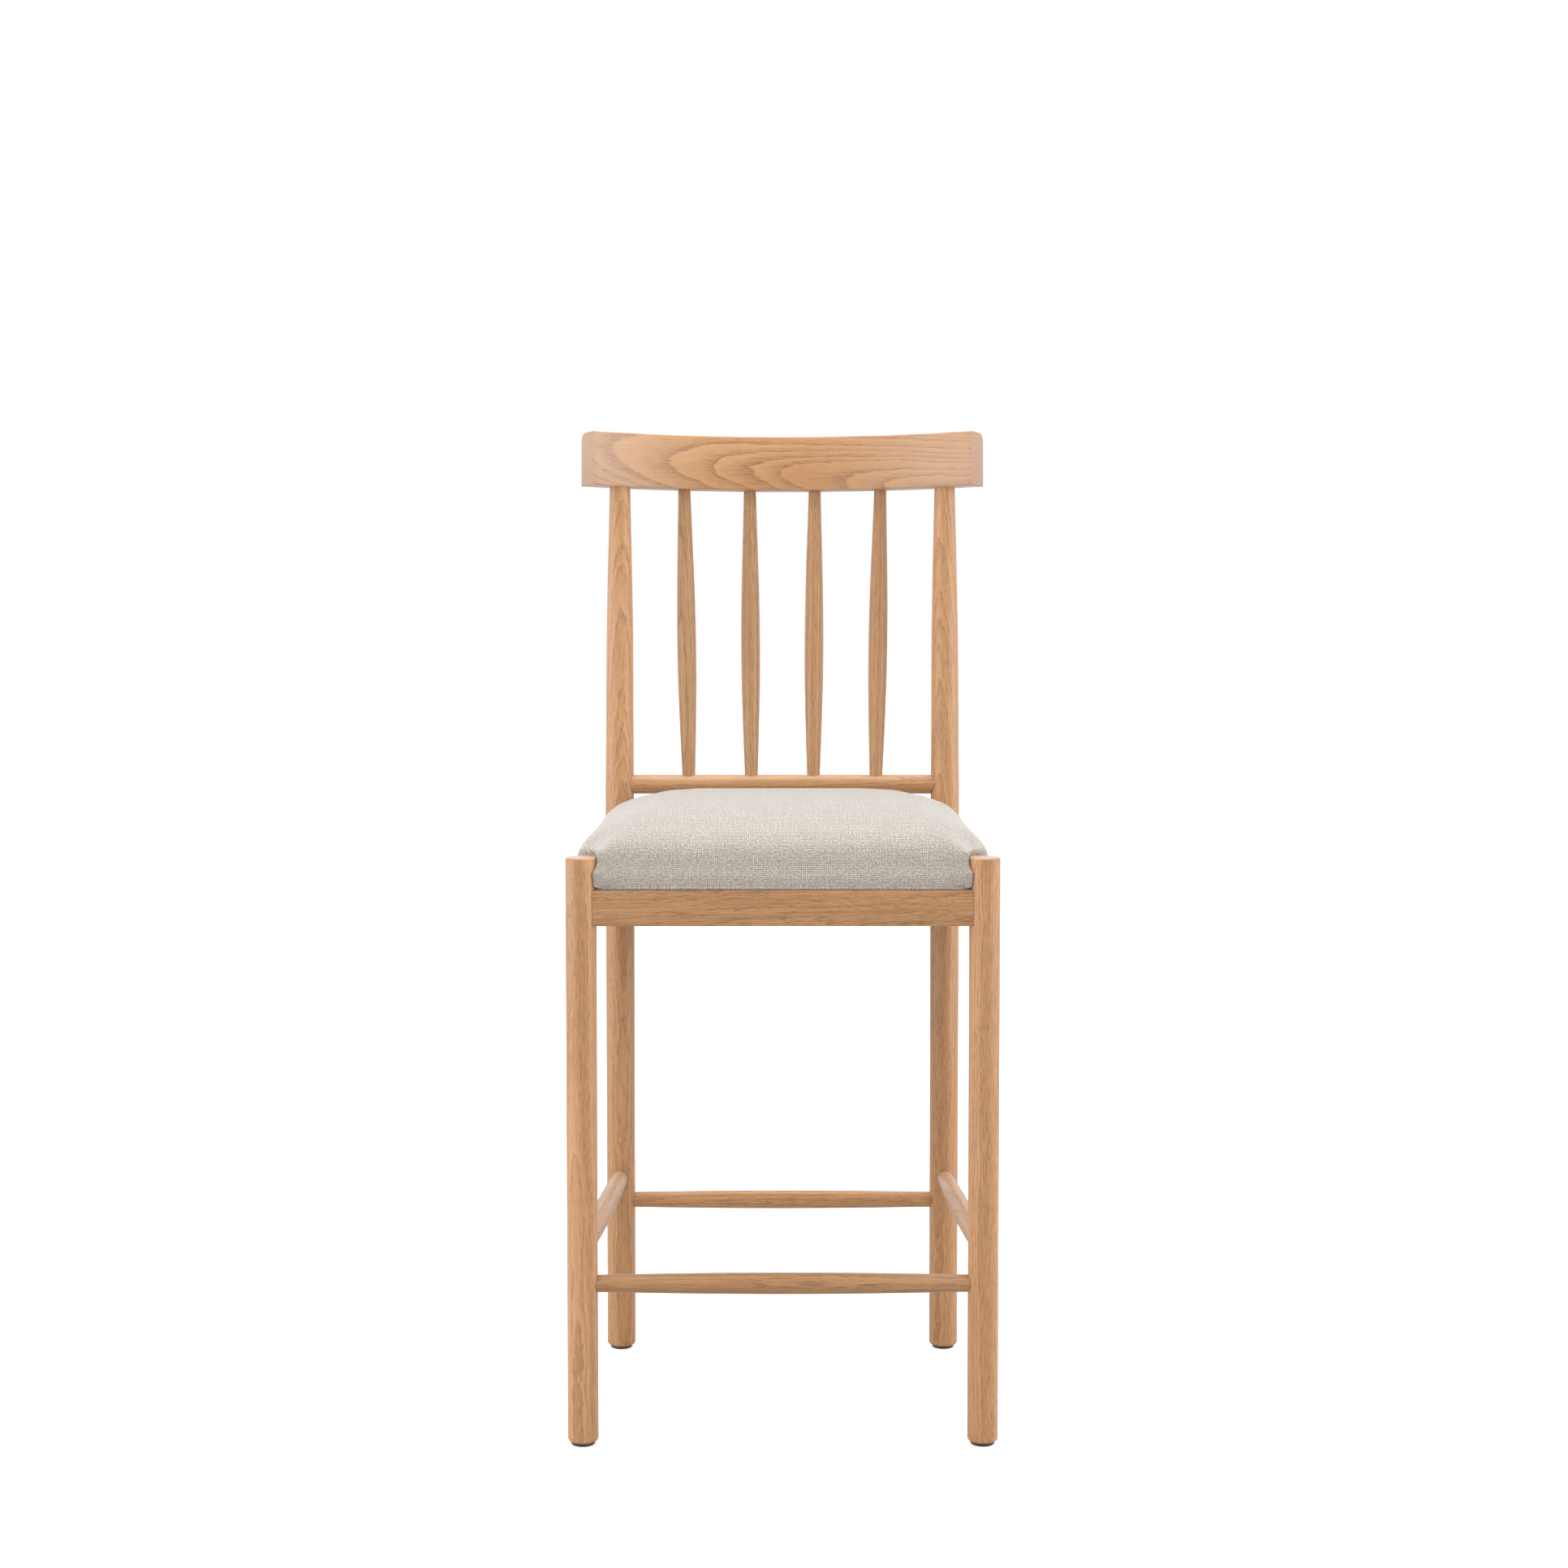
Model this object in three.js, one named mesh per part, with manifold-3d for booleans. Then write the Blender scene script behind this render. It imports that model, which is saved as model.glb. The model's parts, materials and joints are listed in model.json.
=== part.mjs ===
// Counter stool with a spindle back: round oak legs, turned stretchers, shaped aprons, a bowed
// crest rail and an upholstered seat, glued, dowelled and screwed together. Nothing on it moves.
// Millimetres, +Z up. The stool faces -Y, and left is -X, as seen from in front.
// Every piece is laid out from the front leg axes (Y = 0) and the floor (Z = 0). At the end the
// whole stool is moved so that its origin is the middle of its overall box, at floor level.
import * as THREE from "three";
import { mergeVertices } from "three/addons/utils/BufferGeometryUtils.js";
import Module from "manifold-3d";

const wasm = await Module();
wasm.setup();

// ---- driving dimensions ----
const GAP = 0.3; // between pieces that are glued or pressed together
const GLIDE_HEIGHT = 3; // the glides hold the legs this far off the floor
const LEG_SPACING_Y = 337; // front leg axis to rear leg axis

const FRONT_LEG = { x: 207.8, radius: 16, top: 613.5 };
const REAR_LEG = { x: 187.9, radius: 16.5 };
const FOOT_ROUND = 4; // rounding round the foot of each leg
const TOP_ROUND = 2; // rounding round the top of a front leg

const RAKE = THREE.MathUtils.degToRad(4); // lean of the back
const BEND_START = 610; // the rear leg is upright up to here
const BEND_END = 670; // and straight again, leaning back, from here

const APRON = { bottom: 543.2, height: 37.4, thickness: 22 };
const DOWEL = { radius: 3, length: 30, intoLeg: 15 };
const DOWEL_STEP = 7.8; // dowels of neighbouring aprons pass each other inside the leg
const LOWEST_DOWEL = 7; // above the apron's lower edge

const STRETCHER_END = 8.6; // radius where a stretcher meets a leg
const TENON = { radius: 6, length: 14 };

const BACK_RAIL = { z: 659.5, radius: 11 };
const CREST_END_ANGLE = THREE.MathUtils.degToRad(32); // of each end face, from the middle
const CREST = { bowRadius: 424, height: 62, thickness: 29, backRound: 10 };
const CREST_BOTTOM = 1002.3; // height of the crest rail's underside over a rear leg
const POST_TENON = { radius: 8, length: 20 };

const SPINDLE_BOTTOMS = [-108, -35.9, 35.9, 108];
const SPINDLE_SPREAD = 1.06; // the tops stand this much further apart than the bottoms
const SPINDLE = { end: 7.1, middle: 10.95, tenon: 5, intoRail: 13, intoCrest: 18 };

const SEAT = {
  bottom: APRON.bottom + APRON.height + GAP,
  front: -12.5,
  back: LEG_SPACING_Y + 12,
  frontHalf: 218,
  backHalf: 210.5,
  frontCorner: 18,
  backCorner: 42,
  board: 12,
  crown: 662.2,
  cover: 1.5,
};

// ---- materials ----
function material(color, roughness, metalness = 0) {
  return new THREE.MeshStandardMaterial({ color, roughness, metalness });
}
const oak = material(0xc8986c, 0.55);
const beech = material(0xd9b98c, 0.7);
const plywood = material(0xcdb28a, 0.75);
const linen = material(0xdcd6ca, 0.95);
const foam = material(0xefe6c4, 0.95);
const nonwoven = material(0x1d1d1f, 0.95);
const zinc = material(0xb9bcc0, 0.35, 1);
const nylon = material(0x4a4540, 0.6);

// ---- solids ----
function toSolid(geometry) {
  const bare = new THREE.BufferGeometry();
  bare.setAttribute("position", geometry.getAttribute("position").clone());
  if (geometry.index) bare.setIndex(geometry.index.clone());
  const merged = mergeVertices(bare, 1e-4);
  const index = merged.index.array;
  const triangles = [];
  for (let i = 0; i < index.length; i += 3) {
    const [a, b, c] = index.slice(i, i + 3);
    if (a !== b && b !== c && c !== a) triangles.push(a, b, c);
  }
  const vertProperties = Float32Array.from(merged.getAttribute("position").array);
  const triVerts = Uint32Array.from(triangles);
  return new wasm.Manifold(new wasm.Mesh({ numProp: 3, vertProperties, triVerts }));
}

function toGeometry(solid) {
  const mesh = solid.getMesh();
  const geometry = new THREE.BufferGeometry();
  geometry.setAttribute("position", new THREE.BufferAttribute(mesh.vertProperties, 3));
  geometry.setIndex(new THREE.BufferAttribute(mesh.triVerts, 1));
  geometry.computeVertexNormals();
  return geometry;
}

const union = (...solids) => solids.reduce((whole, part) => whole.add(part));
const cut = (solid, ...tools) => tools.reduce((left, tool) => left.subtract(tool), solid);

// A closed body through rings of points of equal count, the first ring lowest and each ring
// counter-clockwise seen from the last one. Both ends are closed by flat or conical caps.
function loft(rings) {
  const count = rings[0].length;
  const points = rings.flat();
  const index = [];
  for (let r = 0; r + 1 < rings.length; r++) {
    for (let i = 0; i < count; i++) {
      const a = r * count + i;
      const b = r * count + ((i + 1) % count);
      index.push(a, b, b + count, a, b + count, a + count);
    }
  }
  const last = (rings.length - 1) * count;
  for (let i = 1; i + 1 < count; i++) {
    index.push(0, i + 1, i, last, last + i, last + i + 1);
  }
  const geometry = new THREE.BufferGeometry().setFromPoints(points);
  geometry.setIndex(index);
  return geometry;
}

// A turned body about the Z axis from [radius, height] pairs, lowest first, closed on the axis.
function turned(profile, segments) {
  const first = profile[0][1];
  const last = profile[profile.length - 1][1];
  const points = [[0, first], ...profile, [0, last]].map(([r, z]) => new THREE.Vector2(r, z));
  return new THREE.LatheGeometry(points, segments).rotateX(Math.PI / 2);
}

// Points of a quarter circle of the given radius round (cx, cz), between two angles in degrees.
function arcPoints(cx, cz, radius, from, to, steps) {
  return Array.from({ length: steps + 1 }, (_, i) => {
    const a = THREE.MathUtils.degToRad(from + ((to - from) * i) / steps);
    return [cx + radius * Math.cos(a), cz + radius * Math.sin(a)];
  });
}

// A plain round bar as a solid, from one point to another.
function bar(from, to, radius, segments = 8) {
  const along = new THREE.Vector3().subVectors(to, from);
  const geometry = new THREE.CylinderGeometry(radius, radius, along.length(), segments);
  geometry.translate(0, along.length() / 2, 0);
  const up = new THREE.Vector3(0, 1, 0);
  geometry.applyQuaternion(new THREE.Quaternion().setFromUnitVectors(up, along.normalize()));
  geometry.translate(from.x, from.y, from.z);
  return toSolid(geometry);
}

function block(width, depth, height, x, y, z) {
  return toSolid(new THREE.BoxGeometry(width, depth, height).translate(x, y, z));
}

// ---- the stool, piece by piece ----
const stool = new THREE.Group();

function piece(name, geometry, look, x = 0, y = 0, z = 0) {
  const mesh = new THREE.Mesh(geometry, look);
  mesh.name = name;
  mesh.position.set(x, y, z);
  stool.add(mesh);
  return mesh;
}

const CORNERS = {
  front_left: { x: -FRONT_LEG.x, y: 0, radius: FRONT_LEG.radius },
  front_right: { x: FRONT_LEG.x, y: 0, radius: FRONT_LEG.radius },
  rear_left: { x: -REAR_LEG.x, y: LEG_SPACING_Y, radius: REAR_LEG.radius },
  rear_right: { x: REAR_LEG.x, y: LEG_SPACING_Y, radius: REAR_LEG.radius },
};

// Each side of the frame has an apron and a stretcher, which run between two leg axes. The
// dowels of front and rear take the first and third level in a leg, those of left and right
// the second and fourth.
const SIDES = [
  { name: "front", from: "front_left", to: "front_right", stretcher: 169, swell: 11.2, level: 0 },
  { name: "rear", from: "rear_left", to: "rear_right", stretcher: 174, swell: 10.5, level: 0 },
  { name: "left", from: "front_left", to: "rear_left", stretcher: 202, swell: 11.2, level: 1 },
  { name: "right", from: "front_right", to: "rear_right", stretcher: 202, swell: 11.2, level: 1 },
];

for (const side of SIDES) {
  const from = CORNERS[side.from];
  const to = CORNERS[side.to];
  side.angle = Math.atan2(to.y - from.y, to.x - from.x);
  side.length = Math.hypot(to.x - from.x, to.y - from.y);
  side.radii = [from.radius, to.radius];
  side.dowels = [side.level, side.level + 2].map(
    (level) => APRON.bottom + LOWEST_DOWEL + level * DOWEL_STEP,
  );
}

// Sockets that a leg has for the stretchers and dowels of the sides that end in it, about the
// leg's own axis.
function legSockets(corner) {
  const { radius } = CORNERS[corner];
  const sockets = [];
  for (const side of SIDES) {
    if (side.from !== corner && side.to !== corner) continue;
    const angle = side.from === corner ? side.angle : side.angle + Math.PI;
    const out = new THREE.Vector3(Math.cos(angle), Math.sin(angle), 0);
    const drill = (depth, r, z) => {
      const base = new THREE.Vector3(0, 0, z);
      const start = base.clone().addScaledVector(out, radius - depth);
      return bar(start, base.addScaledVector(out, radius + 5), r);
    };
    sockets.push(drill(TENON.length + GAP, TENON.radius + GAP, side.stretcher));
    for (const z of side.dowels) {
      sockets.push(drill(DOWEL.intoLeg + GAP, DOWEL.radius + GAP, z));
    }
  }
  return sockets;
}

const GLIDE = { radius: 12.5, pin: 2, pinTop: 18 };

function pinHole() {
  const bottom = new THREE.Vector3(0, 0, 0);
  return bar(bottom, new THREE.Vector3(0, 0, GLIDE.pinTop + GAP), GLIDE.pin + GAP, 8);
}

function footProfile(radius) {
  const foot = GLIDE_HEIGHT + GAP;
  return arcPoints(radius - FOOT_ROUND, foot + FOOT_ROUND, FOOT_ROUND, -90, 0, 3);
}

function frontLeg(corner) {
  const { radius, top } = FRONT_LEG;
  const rim = arcPoints(radius - TOP_ROUND, top - TOP_ROUND, TOP_ROUND, 0, 90, 2);
  const blank = toSolid(turned([...footProfile(radius), ...rim], 20));
  return cut(blank, pinHole(), ...legSockets(corner));
}

// How far the rear leg's axis has leaned back at height z.
function lean(z) {
  const bend = BEND_END - BEND_START;
  const t = THREE.MathUtils.clamp(z - BEND_START, 0, bend);
  const straight = Math.max(0, z - BEND_END);
  return Math.tan(RAKE) * ((t * t) / (2 * bend) + straight);
}

// Radius of the rear leg above the seat, at a few heights.
const POST_STATIONS = [[BEND_START, 16.5], [740, 15.9], [830, 15.4], [910, 14], [1006, 11.7]];

function postRings(extra) {
  const stations = new THREE.SplineCurve(POST_STATIONS.map(([z, r]) => new THREE.Vector2(z, r)));
  const taper = stations.getPoints(9).map((p) => [p.y, p.x]);
  const bendMiddle = (BEND_START + BEND_END) / 2;
  const profile = [...footProfile(REAR_LEG.radius), ...taper, [REAR_LEG.radius, bendMiddle]];
  profile.sort((a, b) => a[1] - b[1]);
  return profile.map(([radius, z]) => {
    const segments = 18;
    const tilt = THREE.MathUtils.clamp((z - BEND_START) / (BEND_END - BEND_START), 0, 1) * RAKE;
    return Array.from({ length: segments }, (_, i) => {
      const a = (i / segments) * Math.PI * 2;
      const side = (radius + extra) * Math.sin(a);
      const rise = -side * Math.sin(tilt);
      return new THREE.Vector3(
        (radius + extra) * Math.cos(a), lean(z) + side * Math.cos(tilt), z + rise);
    });
  });
}

const postBlank = (extra = 0) => toSolid(loft(postRings(extra)));

// ---- crest rail, bowed about an upright line, then leaned back with the posts ----
const POST_TOP = new THREE.Vector3(0, lean(CREST_BOTTOM), CREST_BOTTOM);
const bowDepth = CREST.bowRadius - Math.sqrt(CREST.bowRadius ** 2 - REAR_LEG.x ** 2);
const crestFrame = new THREE.Matrix4()
  .makeRotationX(-RAKE)
  .setPosition(0, LEG_SPACING_Y + POST_TOP.y, POST_TOP.z);

// A point of the rail's middle line at the given X, on its underside, before it leans.
function crestMiddle(x) {
  const { bowRadius } = CREST;
  return new THREE.Vector3(x, bowDepth - bowRadius + Math.sqrt(bowRadius ** 2 - x ** 2), 0);
}

function crestBlank() {
  const { bowRadius, height, thickness, backRound } = CREST;
  const half = thickness / 2;
  const round = arcPoints(half - backRound, height - backRound, backRound, 0, 90, 3);
  const section = [[-half, 0], [half, 0], ...round, [-half, height]];
  const steps = 18;
  const rings = Array.from({ length: steps + 1 }, (_, i) => {
    const a = CREST_END_ANGLE * ((2 * i) / steps - 1);
    return section.map(([out, z]) => new THREE.Vector3(
      (bowRadius + out) * Math.sin(a),
      (bowRadius + out) * Math.cos(a) - bowRadius + bowDepth, z));
  });
  return toSolid(loft(rings).applyMatrix4(crestFrame));
}

const crestUp = new THREE.Vector3(0, Math.sin(RAKE), Math.cos(RAKE));
const crestCutter = crestBlank().translate(...crestUp.clone().multiplyScalar(-GAP).toArray());

// ---- spindles ----
function spindleAxis(x) {
  const bottom = new THREE.Vector3(x, LEG_SPACING_Y + lean(BACK_RAIL.z), BACK_RAIL.z);
  const top = crestMiddle(x * SPINDLE_SPREAD).applyMatrix4(crestFrame);
  const along = new THREE.Vector3().subVectors(top, bottom);
  return { bottom, top, length: along.length(), along: along.normalize() };
}

const backRailLine = [-1, 1].map(
  (end) => new THREE.Vector3(end * REAR_LEG.x, LEG_SPACING_Y + lean(BACK_RAIL.z), BACK_RAIL.z),
);
const backRailBar = (extra) => bar(...backRailLine, BACK_RAIL.radius + extra, 16);

// The turned tenon at each end of a spindle, grown by extra to bore its socket.
function spindleTenons(x, extra) {
  const { bottom, top, along } = spindleAxis(x);
  const foot = BACK_RAIL.radius - SPINDLE.intoRail - extra;
  const low = bottom.clone().addScaledVector(along, foot);
  const lowEnd = bottom.clone().addScaledVector(along, BACK_RAIL.radius + 6);
  const high = top.clone().addScaledVector(along, -6);
  const highEnd = top.clone().addScaledVector(along, SPINDLE.intoCrest + extra);
  const radius = SPINDLE.tenon + extra;
  return [bar(low, lowEnd, radius), bar(high, highEnd, radius)];
}

function spindle(x) {
  const { bottom, along, length } = spindleAxis(x);
  const steps = 9;
  const profile = Array.from({ length: steps + 1 }, (_, i) => {
    const t = i / steps;
    const swell = Math.sin(Math.PI * t ** 0.92) ** 1.15;
    return [SPINDLE.end + (SPINDLE.middle - SPINDLE.end) * swell, t * length];
  });
  profile.push([SPINDLE.end, length + SPINDLE.end / 2]);
  const body = turned(profile, 12);
  const up = new THREE.Vector3(0, 0, 1);
  body.applyQuaternion(new THREE.Quaternion().setFromUnitVectors(up, along));
  body.translate(bottom.x, bottom.y, bottom.z);
  const shaped = cut(toSolid(body), backRailBar(GAP), crestCutter);
  return union(shaped, ...spindleTenons(x, 0));
}

SPINDLE_BOTTOMS.forEach((x, i) => piece(`back_spindle_${i + 1}`, toGeometry(spindle(x)), oak));

// ---- legs ----
function rearLeg(corner) {
  const { x } = CORNERS[corner];
  const [sx, sy] = [x, LEG_SPACING_Y];
  const low = new THREE.Vector3(0, lean(CREST_BOTTOM - 8), CREST_BOTTOM - 8);
  const high = POST_TOP.clone().addScaledVector(crestUp, POST_TENON.length);
  const inward = -Math.sign(x);
  const railAxis = new THREE.Vector3(0, lean(BACK_RAIL.z), BACK_RAIL.z);
  const depth = REAR_LEG.radius - TENON.length - GAP;
  const socket = bar(
    railAxis.clone().setX(inward * depth),
    railAxis.clone().setX(inward * (REAR_LEG.radius + 5)),
    TENON.radius + GAP,
  );
  const shaped = cut(postBlank(), crestCutter.translate(-sx, -sy, 0));
  const post = union(shaped, bar(low, high, POST_TENON.radius, 14));
  return cut(post, pinHole(), socket, ...legSockets(corner));
}

for (const hand of ["left", "right"]) {
  const front = `front_${hand}`;
  const rear = `rear_${hand}`;
  piece(`front_leg_${hand}`, toGeometry(frontLeg(front)), oak, CORNERS[front].x, 0, 0);
  piece(`rear_leg_${hand}`, toGeometry(rearLeg(rear)), oak, CORNERS[rear].x, LEG_SPACING_Y, 0);
}

// ---- foot glides: a domed nylon disc on a pin ----
const glideProfile = [
  [GLIDE.radius - 1.5, 0], [GLIDE.radius, 1.5], [GLIDE.radius, GLIDE_HEIGHT],
  [GLIDE.pin, GLIDE_HEIGHT], [GLIDE.pin, GLIDE.pinTop],
];
for (const [corner, { x, y }] of Object.entries(CORNERS)) {
  piece(`foot_glide_${corner}`, turned(glideProfile, 12), nylon, x, y, 0);
}

// ---- crest rail and lower back rail ----
function crestRail() {
  const sockets = SPINDLE_BOTTOMS.map((x) => spindleTenons(x, GAP)[1]);
  for (const hand of [-1, 1]) {
    const base = new THREE.Vector3(hand * REAR_LEG.x, LEG_SPACING_Y + POST_TOP.y, POST_TOP.z);
    const low = base.clone().addScaledVector(crestUp, -8);
    const high = base.clone().addScaledVector(crestUp, POST_TENON.length + GAP);
    sockets.push(bar(low, high, POST_TENON.radius + GAP, 14));
  }
  return cut(crestBlank(), ...sockets);
}

function lowerBackRail() {
  const posts = [-1, 1].map((hand) => postBlank(GAP).translate(hand * REAR_LEG.x, LEG_SPACING_Y, 0));
  const reach = REAR_LEG.x - REAR_LEG.radius + TENON.length;
  const ends = backRailLine.map((end) => end.clone().setX(Math.sign(end.x) * reach));
  const rail = union(cut(backRailBar(0), ...posts), bar(...ends, TENON.radius));
  return cut(rail, ...SPINDLE_BOTTOMS.map((x) => spindleTenons(x, GAP)[0]));
}

piece("crest_rail", toGeometry(crestRail()), oak);
piece("lower_back_rail", toGeometry(lowerBackRail()), oak);

// ---- aprons and stretchers, each built along X from its first leg axis ----
const [near, far] = [0, 1];

function legBars(side, low, high) {
  return [near, far].map((end) => bar(
    new THREE.Vector3(end * side.length, 0, low),
    new THREE.Vector3(end * side.length, 0, high),
    side.radii[end] + GAP, 18));
}

// Where along the side a dowel lies at each end, with room for it grown by extra.
function dowelSpan(side, end, extra) {
  const start = side.radii[end] - DOWEL.intoLeg - extra;
  const stop = start + DOWEL.length + 2 * extra;
  return end === near ? [start, stop] : [side.length - stop, side.length - start];
}

function apron(side) {
  const { height, thickness } = APRON;
  const blank = block(side.length, thickness, height, side.length / 2, 0, height / 2);
  const bores = [near, far].flatMap((end) => side.dowels.map((z) => {
    const [start, stop] = dowelSpan(side, end, GAP);
    const level = z - APRON.bottom;
    return bar(new THREE.Vector3(start, 0, level), new THREE.Vector3(stop, 0, level),
      DOWEL.radius + GAP);
  }));
  return cut(blank, ...legBars(side, -5, height + 5), ...bores);
}

function stretcher(side) {
  const steps = 8;
  const profile = Array.from({ length: steps + 1 }, (_, i) => {
    const t = i / steps;
    return [STRETCHER_END + (side.swell - STRETCHER_END) * Math.sin(Math.PI * t), t * side.length];
  });
  const body = toSolid(turned(profile, 12).rotateY(Math.PI / 2));
  const start = side.radii[near] - TENON.length;
  const stop = side.length - side.radii[far] + TENON.length;
  const tenon = bar(new THREE.Vector3(start, 0, 0), new THREE.Vector3(stop, 0, 0), TENON.radius);
  return union(cut(body, ...legBars(side, -30, 30)), tenon);
}

for (const side of SIDES) {
  const { x, y } = CORNERS[side.from];
  const made = [
    piece(`${side.name}_apron`, toGeometry(apron(side)), oak, x, y, APRON.bottom),
    piece(`${side.name}_stretcher`, toGeometry(stretcher(side)), oak, x, y, side.stretcher),
  ];
  for (const mesh of made) mesh.rotation.z = side.angle;
}

// ---- dowels, four at each leg ----
const dowelShape = turned([[DOWEL.radius, 0], [DOWEL.radius, DOWEL.length]], 8).rotateY(Math.PI / 2);

for (const side of SIDES) {
  const { x, y } = CORNERS[side.from];
  for (const end of [near, far]) {
    const corner = end === near ? side.from : side.to;
    side.dowels.forEach((z, i) => {
      const name = `dowel_${side.name}_apron_${corner}_${i === 0 ? "low" : "high"}`;
      const [start] = dowelSpan(side, end, 0);
      const mesh = piece(name, dowelShape, beech, x + start * Math.cos(side.angle),
        y + start * Math.sin(side.angle), z);
      mesh.rotation.z = side.angle;
    });
  }
}

// ---- corner blocks with their screws ----
const BLOCK = { reach: 52, land: 14, top: APRON.bottom + 32, height: 24 };
const SCREW = { shank: 1.8, head: 3.8, headHeight: 2.6, length: 32 };
const SEAT_SCREW_LENGTH = 34;
const SCREW_PLACE = 31; // along the apron, from the inner corner

function screwShape(length) {
  const { shank, head, headHeight } = SCREW;
  const tip = 4;
  const profile = [
    [0.4, -length], [shank, -length + tip], [shank, -headHeight], [head, 0],
  ];
  return turned(profile, 8);
}

// The bore that clears a screw, countersunk so that the head sits just below the surface.
function screwBore(length) {
  const { shank, head, headHeight } = SCREW;
  const profile = [
    [shank + GAP, -length], [shank + GAP, -headHeight], [head + GAP, GAP], [head + GAP, 4],
  ];
  return turned(profile, 8);
}

const blockScrew = screwShape(SCREW.length);
const seatScrew = screwShape(SEAT_SCREW_LENGTH);

// Directions and inner corner of the frame at one leg: along its two aprons, off their inner
// faces.
function innerCorner(corner) {
  const { x, y } = CORNERS[corner];
  const across = SIDES.find((s) => s.level === 0 && (s.from === corner || s.to === corner));
  const deep = SIDES.find((s) => s.level === 1 && (s.from === corner || s.to === corner));
  const heading = (s) => {
    const angle = s.from === corner ? s.angle : s.angle + Math.PI;
    return new THREE.Vector2(Math.cos(angle), Math.sin(angle));
  };
  const a = heading(across);
  const b = heading(deep);
  const sine = Math.abs(a.cross(b));
  const offset = (APRON.thickness / 2 + GAP) / sine;
  const origin = new THREE.Vector2(x, y).addScaledVector(a, offset).addScaledVector(b, offset);
  return { origin, a, b };
}

function cornerBlock(corner) {
  const { origin, a, b } = innerCorner(corner);
  const { reach, land, height } = BLOCK;
  const at = (p, q) => origin.clone().addScaledVector(a, p).addScaledVector(b, q);
  const outline = [at(0, 0), at(reach, 0), at(reach, land), at(land, reach), at(0, reach)];
  const shape = new THREE.Shape(outline);
  const blank = new THREE.ExtrudeGeometry(shape, { depth: height, bevelEnabled: false });
  return toSolid(blank.translate(0, 0, BLOCK.top - height));
}

// Where each screw of a corner starts, and the way its head points.
function cornerScrews(corner) {
  const { origin, a, b } = innerCorner(corner);
  const z = BLOCK.top - BLOCK.height / 2;
  const point = (v, height) => new THREE.Vector3(v.x, v.y, height);
  const at = (p, q) => origin.clone().addScaledVector(a, p).addScaledVector(b, q);
  const slope = BLOCK.reach + BLOCK.land;
  const side = SCREW_PLACE;
  const sunk = 0.5;
  const face = slope - side - sunk;
  const middle = (slope / 2) * 0.62;
  const down = new THREE.Vector3(0, 0, -1);
  return {
    across: { start: point(at(side, face), z - 4), out: point(b, 0) },
    deep: { start: point(at(face, side), z + 4), out: point(a, 0) },
    seat: { start: point(at(middle, middle), BLOCK.top - BLOCK.height + sunk), out: down },
  };
}

function placed(geometry, { start, out }) {
  const turn = new THREE.Quaternion().setFromUnitVectors(new THREE.Vector3(0, 0, 1), out);
  return geometry.clone().applyQuaternion(turn).translate(start.x, start.y, start.z);
}

const blockBore = screwBore(SCREW.length + GAP);
const seatBore = screwBore(SEAT_SCREW_LENGTH + GAP);
const seatHoles = [];

for (const [corner, leg] of Object.entries(CORNERS)) {
  const screws = cornerScrews(corner);
  const legBar = bar(
    new THREE.Vector3(leg.x, leg.y, BLOCK.top - BLOCK.height - 5),
    new THREE.Vector3(leg.x, leg.y, BLOCK.top + 5), leg.radius + 2, 18);
  const bores = [
    toSolid(placed(blockBore, screws.across)),
    toSolid(placed(blockBore, screws.deep)),
    toSolid(placed(seatBore, screws.seat)),
  ];
  seatHoles.push(bores[2]);
  piece(`corner_block_${corner}`, toGeometry(cut(cornerBlock(corner), legBar, ...bores)), oak);
  for (const [use, shape] of [["across", blockScrew], ["deep", blockScrew], ["seat", seatScrew]]) {
    const { start, out } = screws[use];
    const mesh = piece(`screw_${use}_${corner}`, shape, zinc, start.x, start.y, start.z);
    mesh.quaternion.setFromUnitVectors(new THREE.Vector3(0, 0, 1), out);
  }
  for (const use of ["across", "deep"]) {
    const side = SIDES.find(
      (s) => s.level === (use === "across" ? 0 : 1) && (s.from === corner || s.to === corner));
    const mesh = stool.getObjectByName(`${side.name}_apron`);
    mesh.updateMatrixWorld();
    const inverse = mesh.matrixWorld.clone().invert();
    const bore = toSolid(placed(blockBore, screws[use]).applyMatrix4(inverse));
    mesh.geometry = toGeometry(cut(toSolid(mesh.geometry), bore));
  }
}

// ---- seat: plywood board, foam, linen cover and dust cover ----
// Outline of the seat in plan: a trapezium with rounded corners, drawn in by inset.
function seatOutline(inset, perCorner) {
  const { front, back, frontHalf, backHalf, frontCorner, backCorner } = SEAT;
  const spots = [
    [backHalf, back, 0, backCorner], [-backHalf, back, 90, backCorner],
    [-frontHalf, front, 180, frontCorner], [frontHalf, front, 270, frontCorner],
  ];
  return spots.flatMap(([x, y, from, corner]) => {
    const radius = corner - inset * 0.4;
    const cx = x - Math.sign(x) * (inset + radius);
    const cy = y + (y > LEG_SPACING_Y / 2 ? -1 : 1) * (inset + radius);
    return arcPoints(cx, cy, radius, from, from + 90, perCorner);
  });
}

// The outline with extra points along its straight sides, for a domed surface.
function denseOutline(inset) {
  const corners = seatOutline(inset, 4);
  const dense = [];
  corners.forEach(([x, y], i) => {
    const [nx, ny] = corners[(i + 1) % corners.length];
    const pieces = Math.max(1, Math.round(Math.hypot(nx - x, ny - y) / 90));
    for (let k = 0; k < pieces; k++) {
      dense.push([x + ((nx - x) * k) / pieces, y + ((ny - y) * k) / pieces]);
    }
  });
  return dense;
}

const SEAT_MIDDLE_Y = (SEAT.front + SEAT.back) / 2;

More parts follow.
